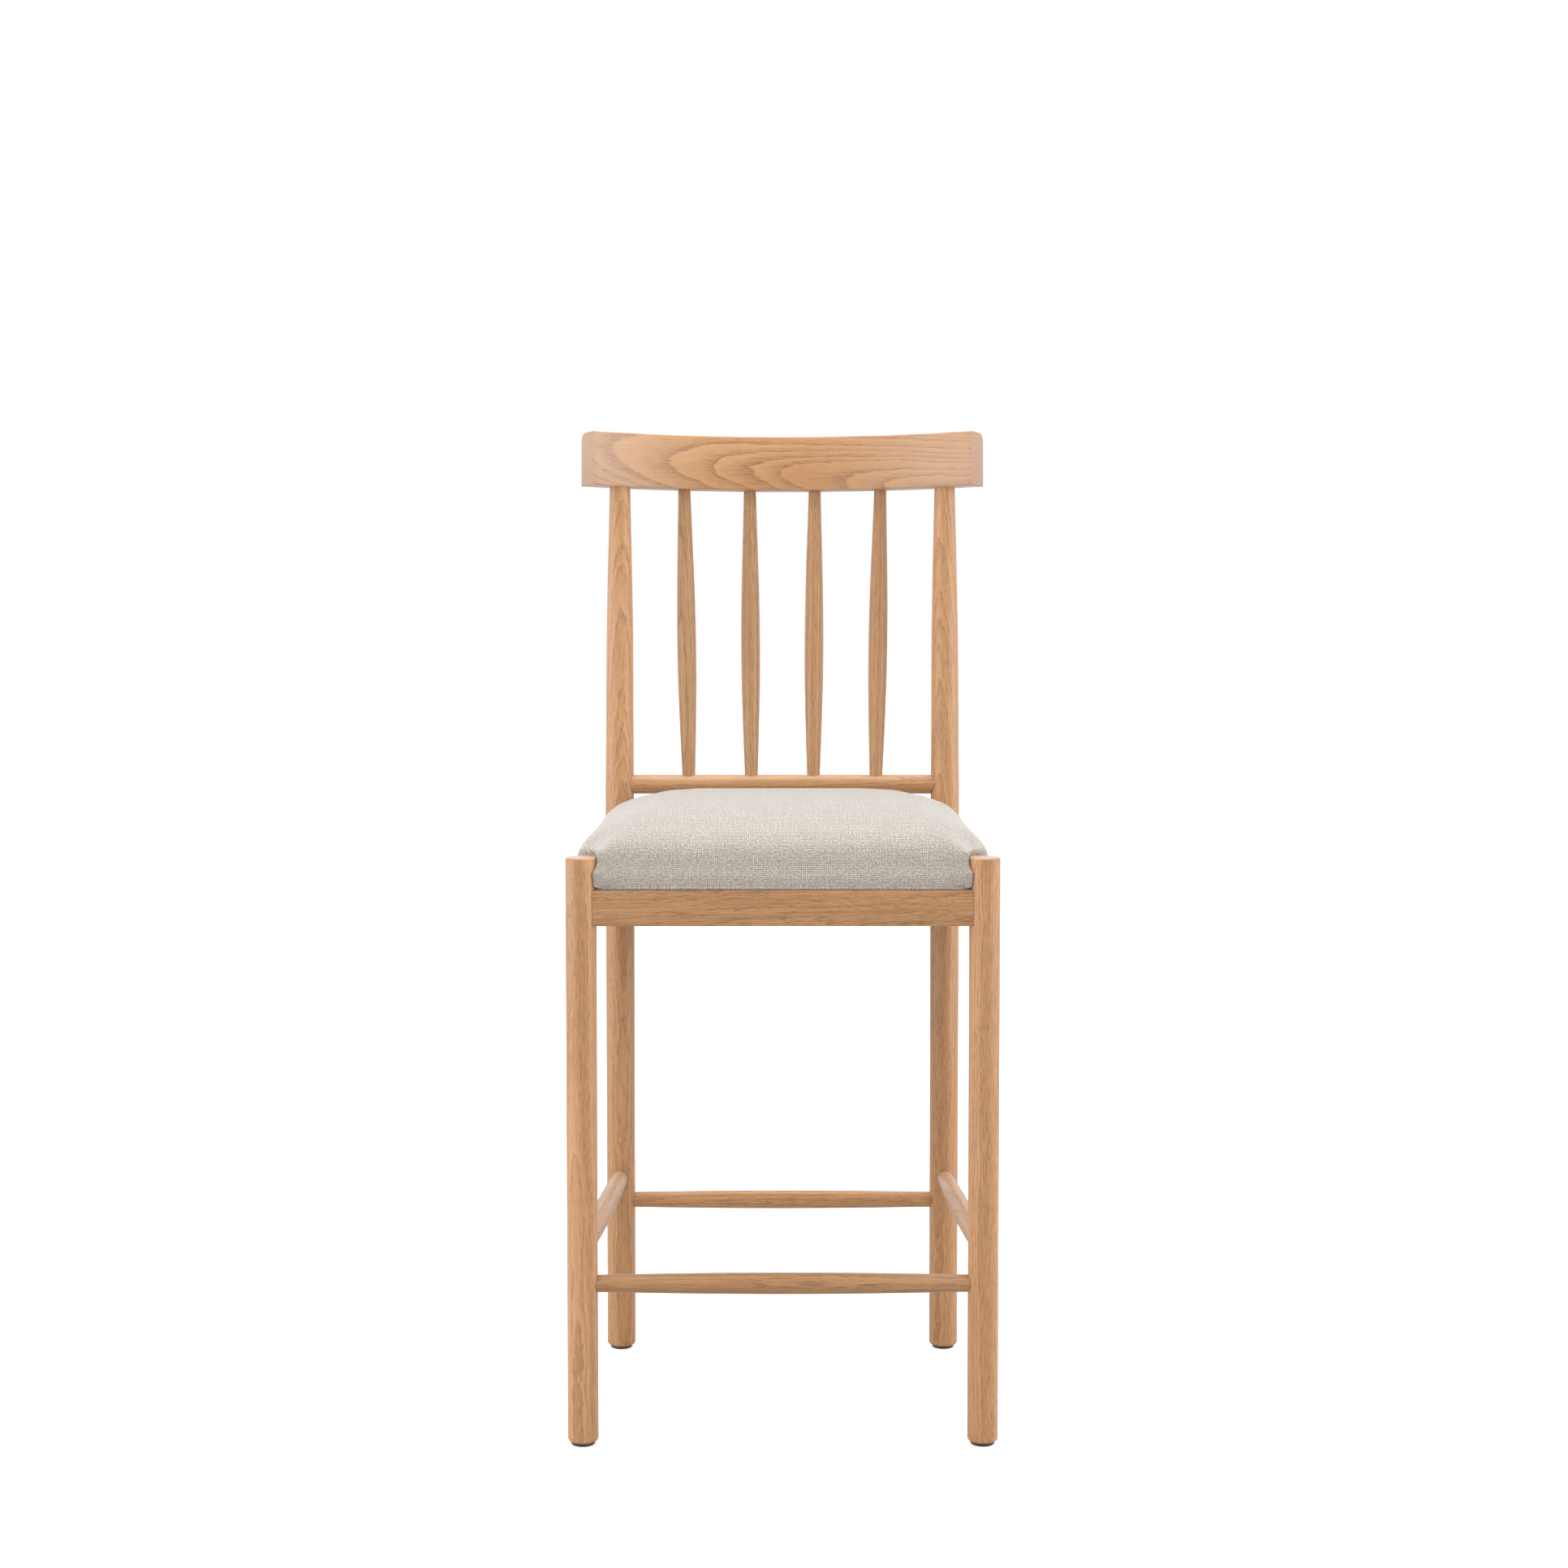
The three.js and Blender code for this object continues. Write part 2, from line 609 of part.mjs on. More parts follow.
// The cushion's outer form, drawn in by inset and standing on the height low: upright sides
// that roll over into a gently crowned top.
function dome(inset, low) {
  const outline = denseOutline(inset);
  const edge = SEAT.bottom + SEAT.board;
  const rise = SEAT.crown - edge - inset;
  const crown = 13;
  const shares = [1, 0.98, 0.94, 0.88, 0.76, 0.5, 0.02];
  const rings = shares.map((share) => {
    const z = edge + (rise - crown) * (1 - share ** 6.4) ** 0.414 + crown * (1 - share ** 2);
    return [share, z];
  });
  return toSolid(loft([[1, low], ...rings].map(([share, z]) => outline.map(
    ([x, y]) => new THREE.Vector3(x * share, SEAT_MIDDLE_Y + (y - SEAT_MIDDLE_Y) * share, z)))));
}

// The round notches that clear the legs, with the given play round each leg.
function notches(play) {
  const low = APRON.bottom;
  return Object.values(CORNERS).map(({ x, y, radius }) => {
    if (y > 0) return postBlank(play).translate(x, y, 0);
    const from = new THREE.Vector3(x, y, low);
    return bar(from, new THREE.Vector3(x, y, SEAT.crown + 20), radius + play, 16);
  });
}

function seatBoard() {
  const outline = seatOutline(SEAT.cover + GAP, 4).map(([x, y]) => new THREE.Vector2(x, y));
  const shape = new THREE.Shape(outline);
  const blank = new THREE.ExtrudeGeometry(shape, { depth: SEAT.board - GAP, bevelEnabled: false });
  const board = toSolid(blank.translate(0, 0, SEAT.bottom + 1.2));
  return cut(board, ...notches(SEAT.cover + 1.2), ...seatHoles);
}

function seatFoam() {
  const low = SEAT.bottom + SEAT.board + 1.5;
  return cut(dome(SEAT.cover + GAP, low), ...notches(SEAT.cover + 1.2));
}

function seatCover() {
  const outer = cut(dome(0, SEAT.bottom), ...notches(0.8));
  const inner = cut(dome(SEAT.cover, SEAT.bottom - 5), ...notches(0.8 + SEAT.cover - GAP));
  return cut(outer, inner);
}

function dustCover() {
  const inner = APRON.thickness / 2 + 1;
  const shape = new THREE.Shape([
    new THREE.Vector2(-FRONT_LEG.x + inner + 1, inner),
    new THREE.Vector2(FRONT_LEG.x - inner - 1, inner),
    new THREE.Vector2(REAR_LEG.x - inner, LEG_SPACING_Y - inner),
    new THREE.Vector2(-REAR_LEG.x + inner, LEG_SPACING_Y - inner),
  ]);
  const sheet = new THREE.ExtrudeGeometry(shape, { depth: 1, bevelEnabled: false });
  const blank = toSolid(sheet.translate(0, 0, SEAT.bottom - 1 - GAP));
  return cut(blank, ...notches(1), ...seatHoles);
}

piece("seat_board", toGeometry(seatBoard()), plywood);
piece("seat_foam", toGeometry(seatFoam()), foam);
piece("seat_cover", toGeometry(seatCover()), linen);
piece("dust_cover", toGeometry(dustCover()), nonwoven);

// ---- the origin: middle of the overall box, at floor level ----
stool.updateMatrixWorld(true);
const box = new THREE.Box3().setFromObject(stool, true);
const group = new THREE.Group();
group.add(stool);
stool.position.set(0, -(box.min.y + box.max.y) / 2, -box.min.z);

export default group;
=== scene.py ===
"""Counter stool with a spindle back: the fine surfaces and finishes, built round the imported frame.

Metres, +Z up. The stool faces -Y, and left is -X, as seen from in front."""
import json
import math

import bmesh
import bpy
import numpy as np
from mathutils import Matrix, Vector


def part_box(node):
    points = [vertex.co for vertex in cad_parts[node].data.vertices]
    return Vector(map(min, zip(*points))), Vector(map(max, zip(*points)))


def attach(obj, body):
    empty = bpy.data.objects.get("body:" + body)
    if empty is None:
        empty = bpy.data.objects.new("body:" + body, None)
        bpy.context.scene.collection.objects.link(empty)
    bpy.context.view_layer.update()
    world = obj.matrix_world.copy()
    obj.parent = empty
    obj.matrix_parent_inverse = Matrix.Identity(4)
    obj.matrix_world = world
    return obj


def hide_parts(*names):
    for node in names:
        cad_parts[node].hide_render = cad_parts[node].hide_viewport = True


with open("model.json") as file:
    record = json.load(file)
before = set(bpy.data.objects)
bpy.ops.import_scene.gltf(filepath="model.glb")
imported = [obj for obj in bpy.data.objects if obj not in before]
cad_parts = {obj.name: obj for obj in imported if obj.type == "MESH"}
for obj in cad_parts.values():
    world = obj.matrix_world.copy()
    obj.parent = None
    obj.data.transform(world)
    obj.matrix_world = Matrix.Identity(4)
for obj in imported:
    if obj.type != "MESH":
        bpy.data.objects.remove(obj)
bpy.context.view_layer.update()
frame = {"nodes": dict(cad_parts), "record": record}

# ---- driving dimensions, as the frame was drawn ----
RAKE = math.radians(4)
BEND_START, BEND_END = 0.610, 0.670
# height and radius of the posts above their bend
POST_TAPER = [(0.670, 0.0163), (0.740, 0.0159), (0.785, 0.01565), (0.830, 0.0154), (0.870, 0.0148),
              (0.910, 0.0140), (0.955, 0.0129), (1.0075, 0.0117)]
CREST_BOTTOM = 1.0023
BOW_RADIUS, BOW_ANGLE = 0.424, math.radians(32)
CREST_HEIGHT, CREST_THICKNESS, CREST_ROUND = 0.062, 0.029, 0.010
BACK_RAIL_Z = 0.6595
SPINDLE_BOTTOMS = (-0.108, -0.0359, 0.0359, 0.108)
SPINDLE_SPREAD = 1.06
SPINDLE_END, SPINDLE_MIDDLE = 0.0071, 0.01095
STRETCHER_END = 0.0086
STRETCHER_SWELL = {"front": 0.0112, "rear": 0.0105, "left": 0.0112, "right": 0.0112}
STRETCHER_TINT = {"front": 0.2, "rear": 0.04, "left": 0.1, "right": 0.1}
FOOT_ROUND, TOP_ROUND = 0.004, 0.002
RAIL_ENDS_IN = 0.0105  # how far the lower back rail stops short of each post's middle
APRON_THICKNESS = 0.022
EASED = 0.0012  # how far sandpaper has broken the edges of the sawn pieces
SMOOTH_UP_TO = math.radians(35)

# ---- the seat: heights of its top, its underside and the board's upper face, then its cover's shape ----
SEAT_TOP, SEAT_UNDER, SEAT_EDGE = 0.6622, 0.5809, 0.5929
SEAT_CROWN, SEAT_ROLL = 0.013, (6.4, 0.414)
SEAT_HALF = 0.214
VOXEL = 0.005
SLACK, SLACK_RISE = 0.0035, 0.02  # how far the cover is drawn in before it is filled, and over what height
STAND_OFF = (0.0014, 0.0014, 0.0004)  # how far the filled cover is let out, along X, Y and Z
SHOULDER_RISE = 0.0015
CORNER_PLACE, CORNER_REACH, CORNER_RISE = (0.166, 0.103), (0.045, 0.05), 0.0035  # the fuller back corners
HELD_HEIGHT = 0.006
HEM_FLAT, HEM_SINK = 0.005, 0.00015
HEM_HEIGHT, HEM_TUCK_HEIGHT, HEM_TUCK = 0.012, 0.0035, 0.0015
HEM_INSIDE = 0.19  # the hem lies farther from the seat's middle than this
THREAD_PITCH = 0.0021

# ---- under the seat ----
BOARD_SHRINK = 0.016
DUST_INSET = APRON_THICKNESS / 2 + 0.0015
CLOTH_THICKNESS = 0.0003
STAPLE_PITCH, STAPLE_INSET = 0.032, 0.009
SCREW_PITCH, SCREW_CORE, SCREW_CREST = 0.0014, 0.00125, 0.0018

# ---- wood and camera ----
RING_WIDTH = 0.0037
CAMERA_AT, CAMERA_PITCH, CAMERA_TURN = (-0.0048, -2.888, 0.9194), 3.198, -0.127
CAMERA_LENS, CAMERA_SHIFT = 60.205, -0.05

SIDES = {"front": ("front_left", "front_right"), "rear": ("rear_left", "rear_right"),
         "left": ("front_left", "rear_left"), "right": ("front_right", "rear_right")}


def leg_axis(corner):
    """Middle and radius of a leg below the seat, from its CAD node."""
    end, hand = corner.split("_")
    low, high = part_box(f"{end}_leg_{hand}")
    radius = (high.x - low.x) / 2
    return Vector(((low.x + high.x) / 2, low.y + radius, 0)), radius


LEGS = {corner: leg_axis(corner) for corner in ("front_left", "front_right", "rear_left", "rear_right")}
REAR_X, REAR_Y = LEGS["rear_right"][0].x, LEGS["rear_right"][0].y
FRONT_Y = LEGS["front_right"][0].y


def lean(z):
    """How far the back has leaned back at height z."""
    bend = BEND_END - BEND_START
    t = min(max(z - BEND_START, 0), bend)
    return math.tan(RAKE) * (t * t / (2 * bend) + max(0, z - BEND_END))


BOW_DEPTH = BOW_RADIUS - math.sqrt(BOW_RADIUS**2 - REAR_X**2)
CREST_FRAME = Matrix.Translation((0, REAR_Y + lean(CREST_BOTTOM), CREST_BOTTOM)) @ Matrix.Rotation(
    -RAKE, 4, "X")


# ---- modelling ----
def only(obj):
    """Makes obj the one selected and active object."""
    bpy.ops.object.select_all(action="DESELECT")
    obj.select_set(True)
    bpy.context.view_layer.objects.active = obj


def started(name):
    """The primitive just added, named, alone in the selection and in edit mode with all of it selected."""
    obj = bpy.context.object
    obj.name = obj.data.name = name
    only(obj)
    bpy.ops.object.transform_apply(location=True, rotation=True, scale=True)
    bpy.ops.object.mode_set(mode="EDIT")
    bpy.ops.mesh.select_all(action="SELECT")
    return obj


def shaded(obj):
    """Shades obj smooth, apart from its sharp edges."""
    only(obj)
    bpy.ops.object.shade_smooth_by_angle(angle=SMOOTH_UP_TO)
    return obj


def finished(obj, matrix=None):
    """Leaves edit mode, puts the piece in its place and shades it."""
    bpy.ops.mesh.select_all(action="SELECT")
    bpy.ops.mesh.remove_doubles(threshold=1e-6)
    bpy.ops.mesh.normals_make_consistent(inside=False)
    bpy.ops.object.mode_set(mode="OBJECT")
    only(obj)
    if matrix is not None:
        obj.matrix_world = matrix
        bpy.ops.object.transform_apply(location=True, rotation=True, scale=True)
    return shaded(obj)


def modified(obj, kind, **settings):
    """Adds a modifier to obj and applies it."""
    only(obj)
    modifier = obj.modifiers.new(kind.lower(), kind)
    for key, value in settings.items():
        setattr(modifier, key, value)
    bpy.ops.object.modifier_apply(modifier=modifier.name)
    return obj


def pick(obj, test):
    """In edit mode, selects the vertices for which test(place) holds."""
    bpy.ops.mesh.select_mode(type="VERT")
    bpy.ops.mesh.select_all(action="DESELECT")
    mesh = bmesh.from_edit_mesh(obj.data)
    for vertex in mesh.verts:
        vertex.select_set(test(vertex.co))
    mesh.select_flush_mode()
    bmesh.update_edit_mesh(obj.data)


def ease_sharp_edges(offset, segments=3, sharpness=40):
    """In edit mode, breaks every sharp edge as sandpaper would."""
    bpy.ops.mesh.select_mode(type="EDGE")
    bpy.ops.mesh.select_all(action="DESELECT")
    bpy.ops.mesh.edges_select_sharp(sharpness=math.radians(sharpness))
    bpy.ops.mesh.bevel(offset=offset, segments=segments, affect="EDGES")


def quarter(z, radius, round_by, top, steps=6):
    """Stations of a rounded rim that ends at height z, lowest first."""
    angles = [math.pi / 2 * i / steps for i in range(steps + 1)]
    if top:
        return [(z - round_by + round_by * math.sin(a), radius - round_by + round_by * math.cos(a))
                for a in angles]
    return [(z + round_by - round_by * math.cos(a), radius - round_by + round_by * math.sin(a))
            for a in angles]


def turned(name, stations, matrix=None, segments=64, shift=None):
    """A turned piece through rings at (height, radius). shift(height) moves a ring along Y."""
    z, radius = stations[0]
    bpy.ops.mesh.primitive_circle_add(vertices=segments, radius=radius, fill_type="NGON", location=(0, 0, z))
    obj = started(name)
    y = 0
    for height, ring in stations[1:]:
        step = (shift(height) if shift else 0) - y
        y += step
        bpy.ops.mesh.extrude_region_move(TRANSFORM_OT_translate={"value": (0, step, height - z)})
        share = ring / radius
        bpy.ops.transform.resize(value=(share, share, 1), center_override=(0, y, height))
        z, radius = height, ring
    return finished(obj, matrix)


def coped(obj, *corners, gap=0.00025):
    """Cuts the ends of a piece to fit round the legs that it meets, with a hairline left for the joint."""
    for corner in corners:
        middle, radius = LEGS[corner]
        low, high = bounds_of(obj)
        level = (low.z + high.z) / 2
        above_bend = corner.startswith("rear") and level > BEND_START
        tilt = RAKE if above_bend else 0
        centre = middle + Vector((0, lean(level) if above_bend else 0, level))
        reach = (POST_TAPER[0][1] if above_bend else radius) + gap
        bpy.ops.mesh.primitive_cylinder_add(vertices=96, radius=reach, depth=0.2, rotation=(-tilt, 0, 0),
                                            location=centre)
        cutter = bpy.context.object
        modified(obj, "BOOLEAN", operation="DIFFERENCE", solver="EXACT", object=cutter)
        bpy.data.objects.remove(cutter)
    return shaded(obj)


def bounds_of(obj):
    """The lowest and the highest corner of the box round obj."""
    points = [vertex.co for vertex in obj.data.vertices]
    return tuple(Vector([end(p[axis] for p in points) for axis in range(3)]) for end in (min, max))


def along(start, end):
    """The frame whose origin is start and whose Z runs to end."""
    direction = (end - start).normalized()
    return Matrix.Translation(start) @ direction.to_track_quat("Z", "Y").to_matrix().to_4x4()


# ---- meshes as rows of numbers ----
def rows(items, key, width=3, kind=float):
    """One row of numbers for each of a mesh's vertices, edges or faces."""
    numbers = np.empty(len(items) * width, kind)
    items.foreach_get(key, numbers)
    return numbers.reshape(-1, width)


def coords(obj):
    return rows(obj.data.vertices, "co")


def vertex_normals(obj):
    return rows(obj.data.vertices, "normal")


def edges_of(obj):
    return rows(obj.data.edges, "vertices", 2, np.int64)


def place(obj, points):
    obj.data.vertices.foreach_set("co", np.asarray(points, np.float32).ravel())
    obj.data.update()


def attribute(obj, name, kind, domain, key, values):
    layer = obj.data.attributes.new(name, kind, domain)
    layer.data.foreach_set(key, np.asarray(values, np.float32).ravel())


# ---- wood grain: where each point lay in the plank it was cut from ----
def grain(obj, run, pith, drift=(0, 0), tint=0.0, skip=0.0, figure=1.0, growth=1.0, points=None, painted_highlight=0.0):
    """Writes each point's place in its plank, and where it lay from the tree's middle.

    run is the direction that the fibres follow, and pith the tree's middle as seen from the piece. drift is
    how that middle wanders across for each metre along, and skip how far along the tree the piece was cut.
    tint is how much darker the piece is than the rest, figure how lively its grain is, growth how wide its
    rings are, and the last argument how much painted highlight, whitish reflected light, is laid on."""
    run = Vector(run).normalized()
    plank = np.array(run.to_track_quat("Z", "Y").to_matrix())
    points = ((coords(obj) if points is None else points) - np.array(pith)) @ plank
    rings = points.copy()
    rings[:, :2] = (rings[:, :2] - points[:, 2:] * np.array(drift)) / growth
    points[:, 2] += skip
    rings[:, 2] += skip
    attribute(obj, "plank", "FLOAT_VECTOR", "POINT", "vector", points)
    attribute(obj, "rings", "FLOAT_VECTOR", "POINT", "vector", rings)
    # the last of these carries the painted highlight
    for name, value in (("tint", tint), ("figure", figure), ("painted_highlight", painted_highlight)):
        attribute(obj, name, "FLOAT", "POINT", "value", np.full(len(points), value))
    end = np.abs(rows(obj.data.polygons, "normal") @ np.array(run))
    attribute(obj, "end_grain", "FLOAT", "FACE", "value", np.clip(end * 2 - 0.9, 0, 1))
    return obj


def unbent(points):
    """Points of the crest rail as they lay before it was bent: along, out and up."""
    inverse = np.array(CREST_FRAME.inverted())
    local = points @ inverse[:3, :3].T + inverse[:3, 3]
    local[:, 1] += BOW_RADIUS - BOW_DEPTH
    reach = np.hypot(local[:, 0], local[:, 1])
    bent_by = np.arctan2(local[:, 0], local[:, 1])
    return np.column_stack([BOW_RADIUS * bent_by, reach - BOW_RADIUS, local[:, 2]])


# ---- legs ----
def front_leg(hand):
    middle, radius = LEGS[f"front_{hand}"]
    low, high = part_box(f"front_leg_{hand}")
    stations = [*quarter(low.z, radius, FOOT_ROUND, False), (0.2, radius), (0.4, radius),
                *quarter(high.z, radius, TOP_ROUND, True)]
    return turned(f"front_leg_{hand}_wood", stations, Matrix.Translation(middle))


def rear_leg(hand):
    middle, radius = LEGS[f"rear_{hand}"]
    low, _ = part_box(f"rear_leg_{hand}")
    bend = [(BEND_START + (BEND_END - BEND_START) * i / 6, radius - i * 2e-5) for i in range(6)]
    stations = [*quarter(low.z, radius, FOOT_ROUND, False), (0.2, radius), (0.4, radius), *bend, *POST_TAPER]
    return turned(f"rear_leg_{hand}_wood", stations, Matrix.Translation(middle), shift=lean)


def glide(corner):
    """A nylon disc with a rounded edge and a waist under the wood."""
    middle, _ = LEGS[corner]
    low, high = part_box(f"foot_glide_{corner}")
    radius, foot = (high.x - low.x) / 2, 0.003
    stations = [(0, radius - 0.0016), (0.0003, radius - 0.0008), (0.0008, radius - 0.0002),
                (0.0014, radius), (0.0021, radius), (0.0027, radius - 0.0004), (foot, radius - 0.0012),
                (foot, 0.004), (0.006, 0.004)]
    return turned(f"glide_{corner}", stations, Matrix.Translation(middle), segments=48)


# ---- stretchers, aprons, back rail and spindles ----
def swollen(length, end, middle, count=28, power=1.0, skew=1.0):
    """Stations of a rod that is end thick at both ends and swells towards its middle."""
    steps = [i / count for i in range(count + 1)]
    return [(t * length, end + (middle - end) * math.sin(math.pi * t**skew) ** power) for t in steps]


def stretcher(side):
    (a, ra), (b, rb) = (LEGS[c] for c in SIDES[side])
    low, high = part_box(f"{side}_stretcher")
    height = Vector((0, 0, (low.z + high.z) / 2))
    length = (b - a).length
    rings = swollen(length, STRETCHER_END, STRETCHER_SWELL[side])
    inside = [(z, r) for z, r in rings if ra * 0.72 < z < length - rb * 0.72]
    ends = [(ra * 0.72, inside[0][1]), (length - rb * 0.72, inside[-1][1])]
    rod = turned(f"{side}_stretcher_wood", [ends[0], *inside[1:-1], ends[1]], along(a + height, b + height),
                 segments=48)
    return coped(rod, *SIDES[side])


def apron(side):
    (a, ra), (b, rb) = (LEGS[c] for c in SIDES[side])
    low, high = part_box(f"{side}_apron")
    length = (b - a).length
    start, stop = ra * 0.66, length - rb * 0.66
    bpy.ops.mesh.primitive_cube_add(size=1, location=((start + stop) / 2, 0, (low.z + high.z) / 2),
                                    scale=(stop - start, APRON_THICKNESS, high.z - low.z))
    obj = started(f"{side}_apron_wood")
    ease_sharp_edges(EASED)
    bpy.ops.mesh.select_mode(type="VERT")
    angle = math.atan2(b.y - a.y, b.x - a.x)
    return coped(finished(obj, Matrix.Translation(a) @ Matrix.Rotation(angle, 4, "Z")), *SIDES[side])


def lower_back_rail():
    low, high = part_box("lower_back_rail")
    radius, reach = (high.z - low.z) / 2, REAR_X - RAIL_ENDS_IN
    y = REAR_Y + lean(BACK_RAIL_Z)
    ends = [Vector((x, y, BACK_RAIL_Z)) for x in (-reach, reach)]
    rail = turned("lower_back_rail_wood", [(0, radius), (reach, radius), (2 * reach, radius)], along(*ends))
    return coped(rail, *SIDES["rear"])


def crest_point(x, out=0.0, up=0.0):
    """A point of the bowed rail's middle line at x, moved out from the bow's middle and up."""
    y = math.sqrt(BOW_RADIUS**2 - x**2)
    scale = (BOW_RADIUS + out) / BOW_RADIUS
    return CREST_FRAME @ Vector((x * scale, y * scale - BOW_RADIUS + BOW_DEPTH, up))


def spindle_ends(x):
    return Vector((x, REAR_Y + lean(BACK_RAIL_Z), BACK_RAIL_Z)), crest_point(x * SPINDLE_SPREAD)


def spindle(index, x):
    bottom, top = spindle_ends(x)
    length = (top - bottom).length
    rings = swollen(length, SPINDLE_END, SPINDLE_MIDDLE, power=1.15, skew=0.92)
    rings = [(0.005, rings[0][1]), *rings[1:], (length + 0.0015, rings[-1][1])]
    return turned(f"back_spindle_{index}_wood", rings, along(bottom, top), segments=40)


def crest_rail():
    """A section with a rounded upper back edge, spun round the middle of the bow."""
    bow_middle = Vector((0, BOW_DEPTH - BOW_RADIUS, 0))
    bpy.ops.mesh.primitive_plane_add(size=CREST_HEIGHT, location=(0, BOW_RADIUS, CREST_HEIGHT / 2),
                                     rotation=(0, math.pi / 2, 0))
    obj = started("crest_rail_wood")
    bpy.ops.transform.resize(value=(1, CREST_THICKNESS / CREST_HEIGHT, 1), center_override=(0, BOW_RADIUS, 0))
    pick(obj, lambda c: c.z > CREST_HEIGHT / 2 and c.y > BOW_RADIUS)
    bpy.ops.mesh.bevel(offset=CREST_ROUND, segments=10, affect="VERTICES")
    bpy.ops.mesh.select_all(action="SELECT")
    mesh = bmesh.from_edit_mesh(obj.data)
    bmesh.ops.rotate(mesh, verts=mesh.verts, cent=(0, 0, 0), matrix=Matrix.Rotation(BOW_ANGLE, 3, "Z"))
    bmesh.update_edit_mesh(obj.data)
    bpy.ops.mesh.spin(steps=72, angle=2 * BOW_ANGLE, center=(0, 0, 0), axis=(0, 0, 1))
    bpy.ops.mesh.select_all(action="SELECT")
    bpy.ops.mesh.remove_doubles(threshold=1e-6)
    bpy.ops.mesh.normals_make_consistent(inside=False)
    ease_sharp_edges(EASED)
    bpy.ops.mesh.select_mode(type="VERT")
    return finished(obj, CREST_FRAME @ Matrix.Translation(bow_middle))


# ---- cushion ----
def cushion_blank():
    """The seat's board, foam and cover made one closed form, on an even grid."""
    blank = bpy.data.objects.new("seat_cushion", bpy.data.meshes.new("seat_cushion"))
    bpy.context.scene.collection.objects.link(blank)
    joined = bmesh.new()
    for node in ("seat_board", "seat_foam", "seat_cover"):
        joined.from_mesh(frame["nodes"][node].data)
    bmesh.ops.remove_doubles(joined, verts=joined.verts, dist=1e-6)
    joined.to_mesh(blank.data)
    joined.free()
    modified(blank, "REMESH", mode="VOXEL", voxel_size=VOXEL)
    keep_outer_shell(blank)
    return blank


def keep_outer_shell(obj):
    """Drops every closed shell but the largest."""
    mesh = bmesh.new()
    mesh.from_mesh(obj.data)
    mesh.verts.ensure_lookup_table()
    unseen, shells = set(mesh.verts), []
    while unseen:
        stack, shell = [unseen.pop()], []
        while stack:
            vertex = stack.pop()
            shell.append(vertex)
            for edge in vertex.link_edges:
                other = edge.other_vert(vertex)
                if other in unseen:
                    unseen.discard(other)
                    stack.append(other)
        shells.append(shell)
    shells.sort(key=len, reverse=True)
    bmesh.ops.delete(mesh, geom=[v for shell in shells[1:] for v in shell], context="VERTS")
    mesh.to_mesh(obj.data)
    mesh.free()


def relax(points, pairs, rounds, held, pull=0.5):
    """Moves each point by a share of the way to the middle of its neighbours, leaving what is held."""
    count = np.bincount(pairs.ravel(), minlength=len(points))[:, None]
    for _ in range(rounds):
        total = np.zeros_like(points)
        np.add.at(total, pairs[:, 0], points[pairs[:, 1]])
        np.add.at(total, pairs[:, 1], points[pairs[:, 0]])
        points = np.where(held[:, None], points, points * (1 - pull) + total / count * pull)
    return points


def clear_of_legs(points, play=0.0007):
    """Moves points out of the four legs, so the pad wraps round them."""
    for corner, (middle, radius) in LEGS.items():
        shift = np.array([lean(z) if corner.startswith("rear") else 0.0 for z in points[:, 2]])
        across = points[:, :2] - np.array([middle.x, middle.y])
        across[:, 1] -= shift
        reach = np.linalg.norm(across, axis=1)
        hand = corner.split("_")[1]
        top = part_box(f"front_leg_{hand}")[1].z if corner.startswith("front") else math.inf
        inside = (reach < radius + play) & (points[:, 2] < top + play)
        moved = across * ((radius + play) / np.maximum(reach, 1e-6))[:, None]
        points[inside, :2] += (moved - across)[inside]
    return points


def faired(points, pairs, rounds, held):
    """Smooths the surface without shrinking it, each step in followed by one out."""
    for _ in range(rounds):
        points = relax(points, pairs, 1, held)
        points = relax(points, pairs, 1, held, -0.52)
    return points


def rolled_to_legs(points, rise=0.025, reach=0.028):
    """Lets the pad slope down to the tops of the front legs, where its cover is drawn tight behind them."""
    for hand in ("left", "right"):
        middle, radius = LEGS[f"front_{hand}"]
        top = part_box(f"front_leg_{hand}")[1].z
        apart = np.linalg.norm(points[:, :2] - np.array([middle.x, middle.y]), axis=1) - radius
        slope = rise * np.clip(apart / reach, 0, 1) ** 0.8 + np.maximum(0, apart - reach) * 3
        ceiling = top + 0.001 + slope
        points[:, 2] = np.minimum(points[:, 2], ceiling)
    return points


def inflate(pad, pressure=4.0, cap=0.003, frames=20):
    """Slackens the pad a little, then swells it as a filled cover swells, its lower edge held to the board.
    cap is how far a point may end from where it was drawn."""
    shape = coords(pad)
    above = np.clip((shape[:, 2] - SEAT_EDGE) / SLACK_RISE, 0, 1)
    place(pad, shape - vertex_normals(pad) * above[:, None] * SLACK)
    held = coords(pad)[:, 2] < SEAT_EDGE - 0.001
    pinned = pad.vertex_groups.new(name="stapled")
    pinned.add([int(i) for i in np.flatnonzero(held)], 1.0, "REPLACE")
    only(pad)
    cloth = pad.modifiers.new("filling", "CLOTH")
    cloth.settings.use_pressure = True
    cloth.settings.uniform_pressure_force = pressure
    cloth.settings.effector_weights.gravity = 0
    cloth.settings.vertex_group_mass = "stapled"
    for number in range(1, frames + 1):
        bpy.context.scene.frame_set(number)
    filled = pad.evaluated_get(bpy.context.evaluated_depsgraph_get())
    moved = relax(coords(filled) - shape, edges_of(pad), 40, held)
    bpy.context.scene.frame_set(1)
    pad.modifiers.remove(cloth)
    pad.vertex_groups.clear()
    length = np.linalg.norm(moved, axis=1, keepdims=True)
    place(pad, shape + moved * np.minimum(1, cap / np.maximum(length, 1e-9)))


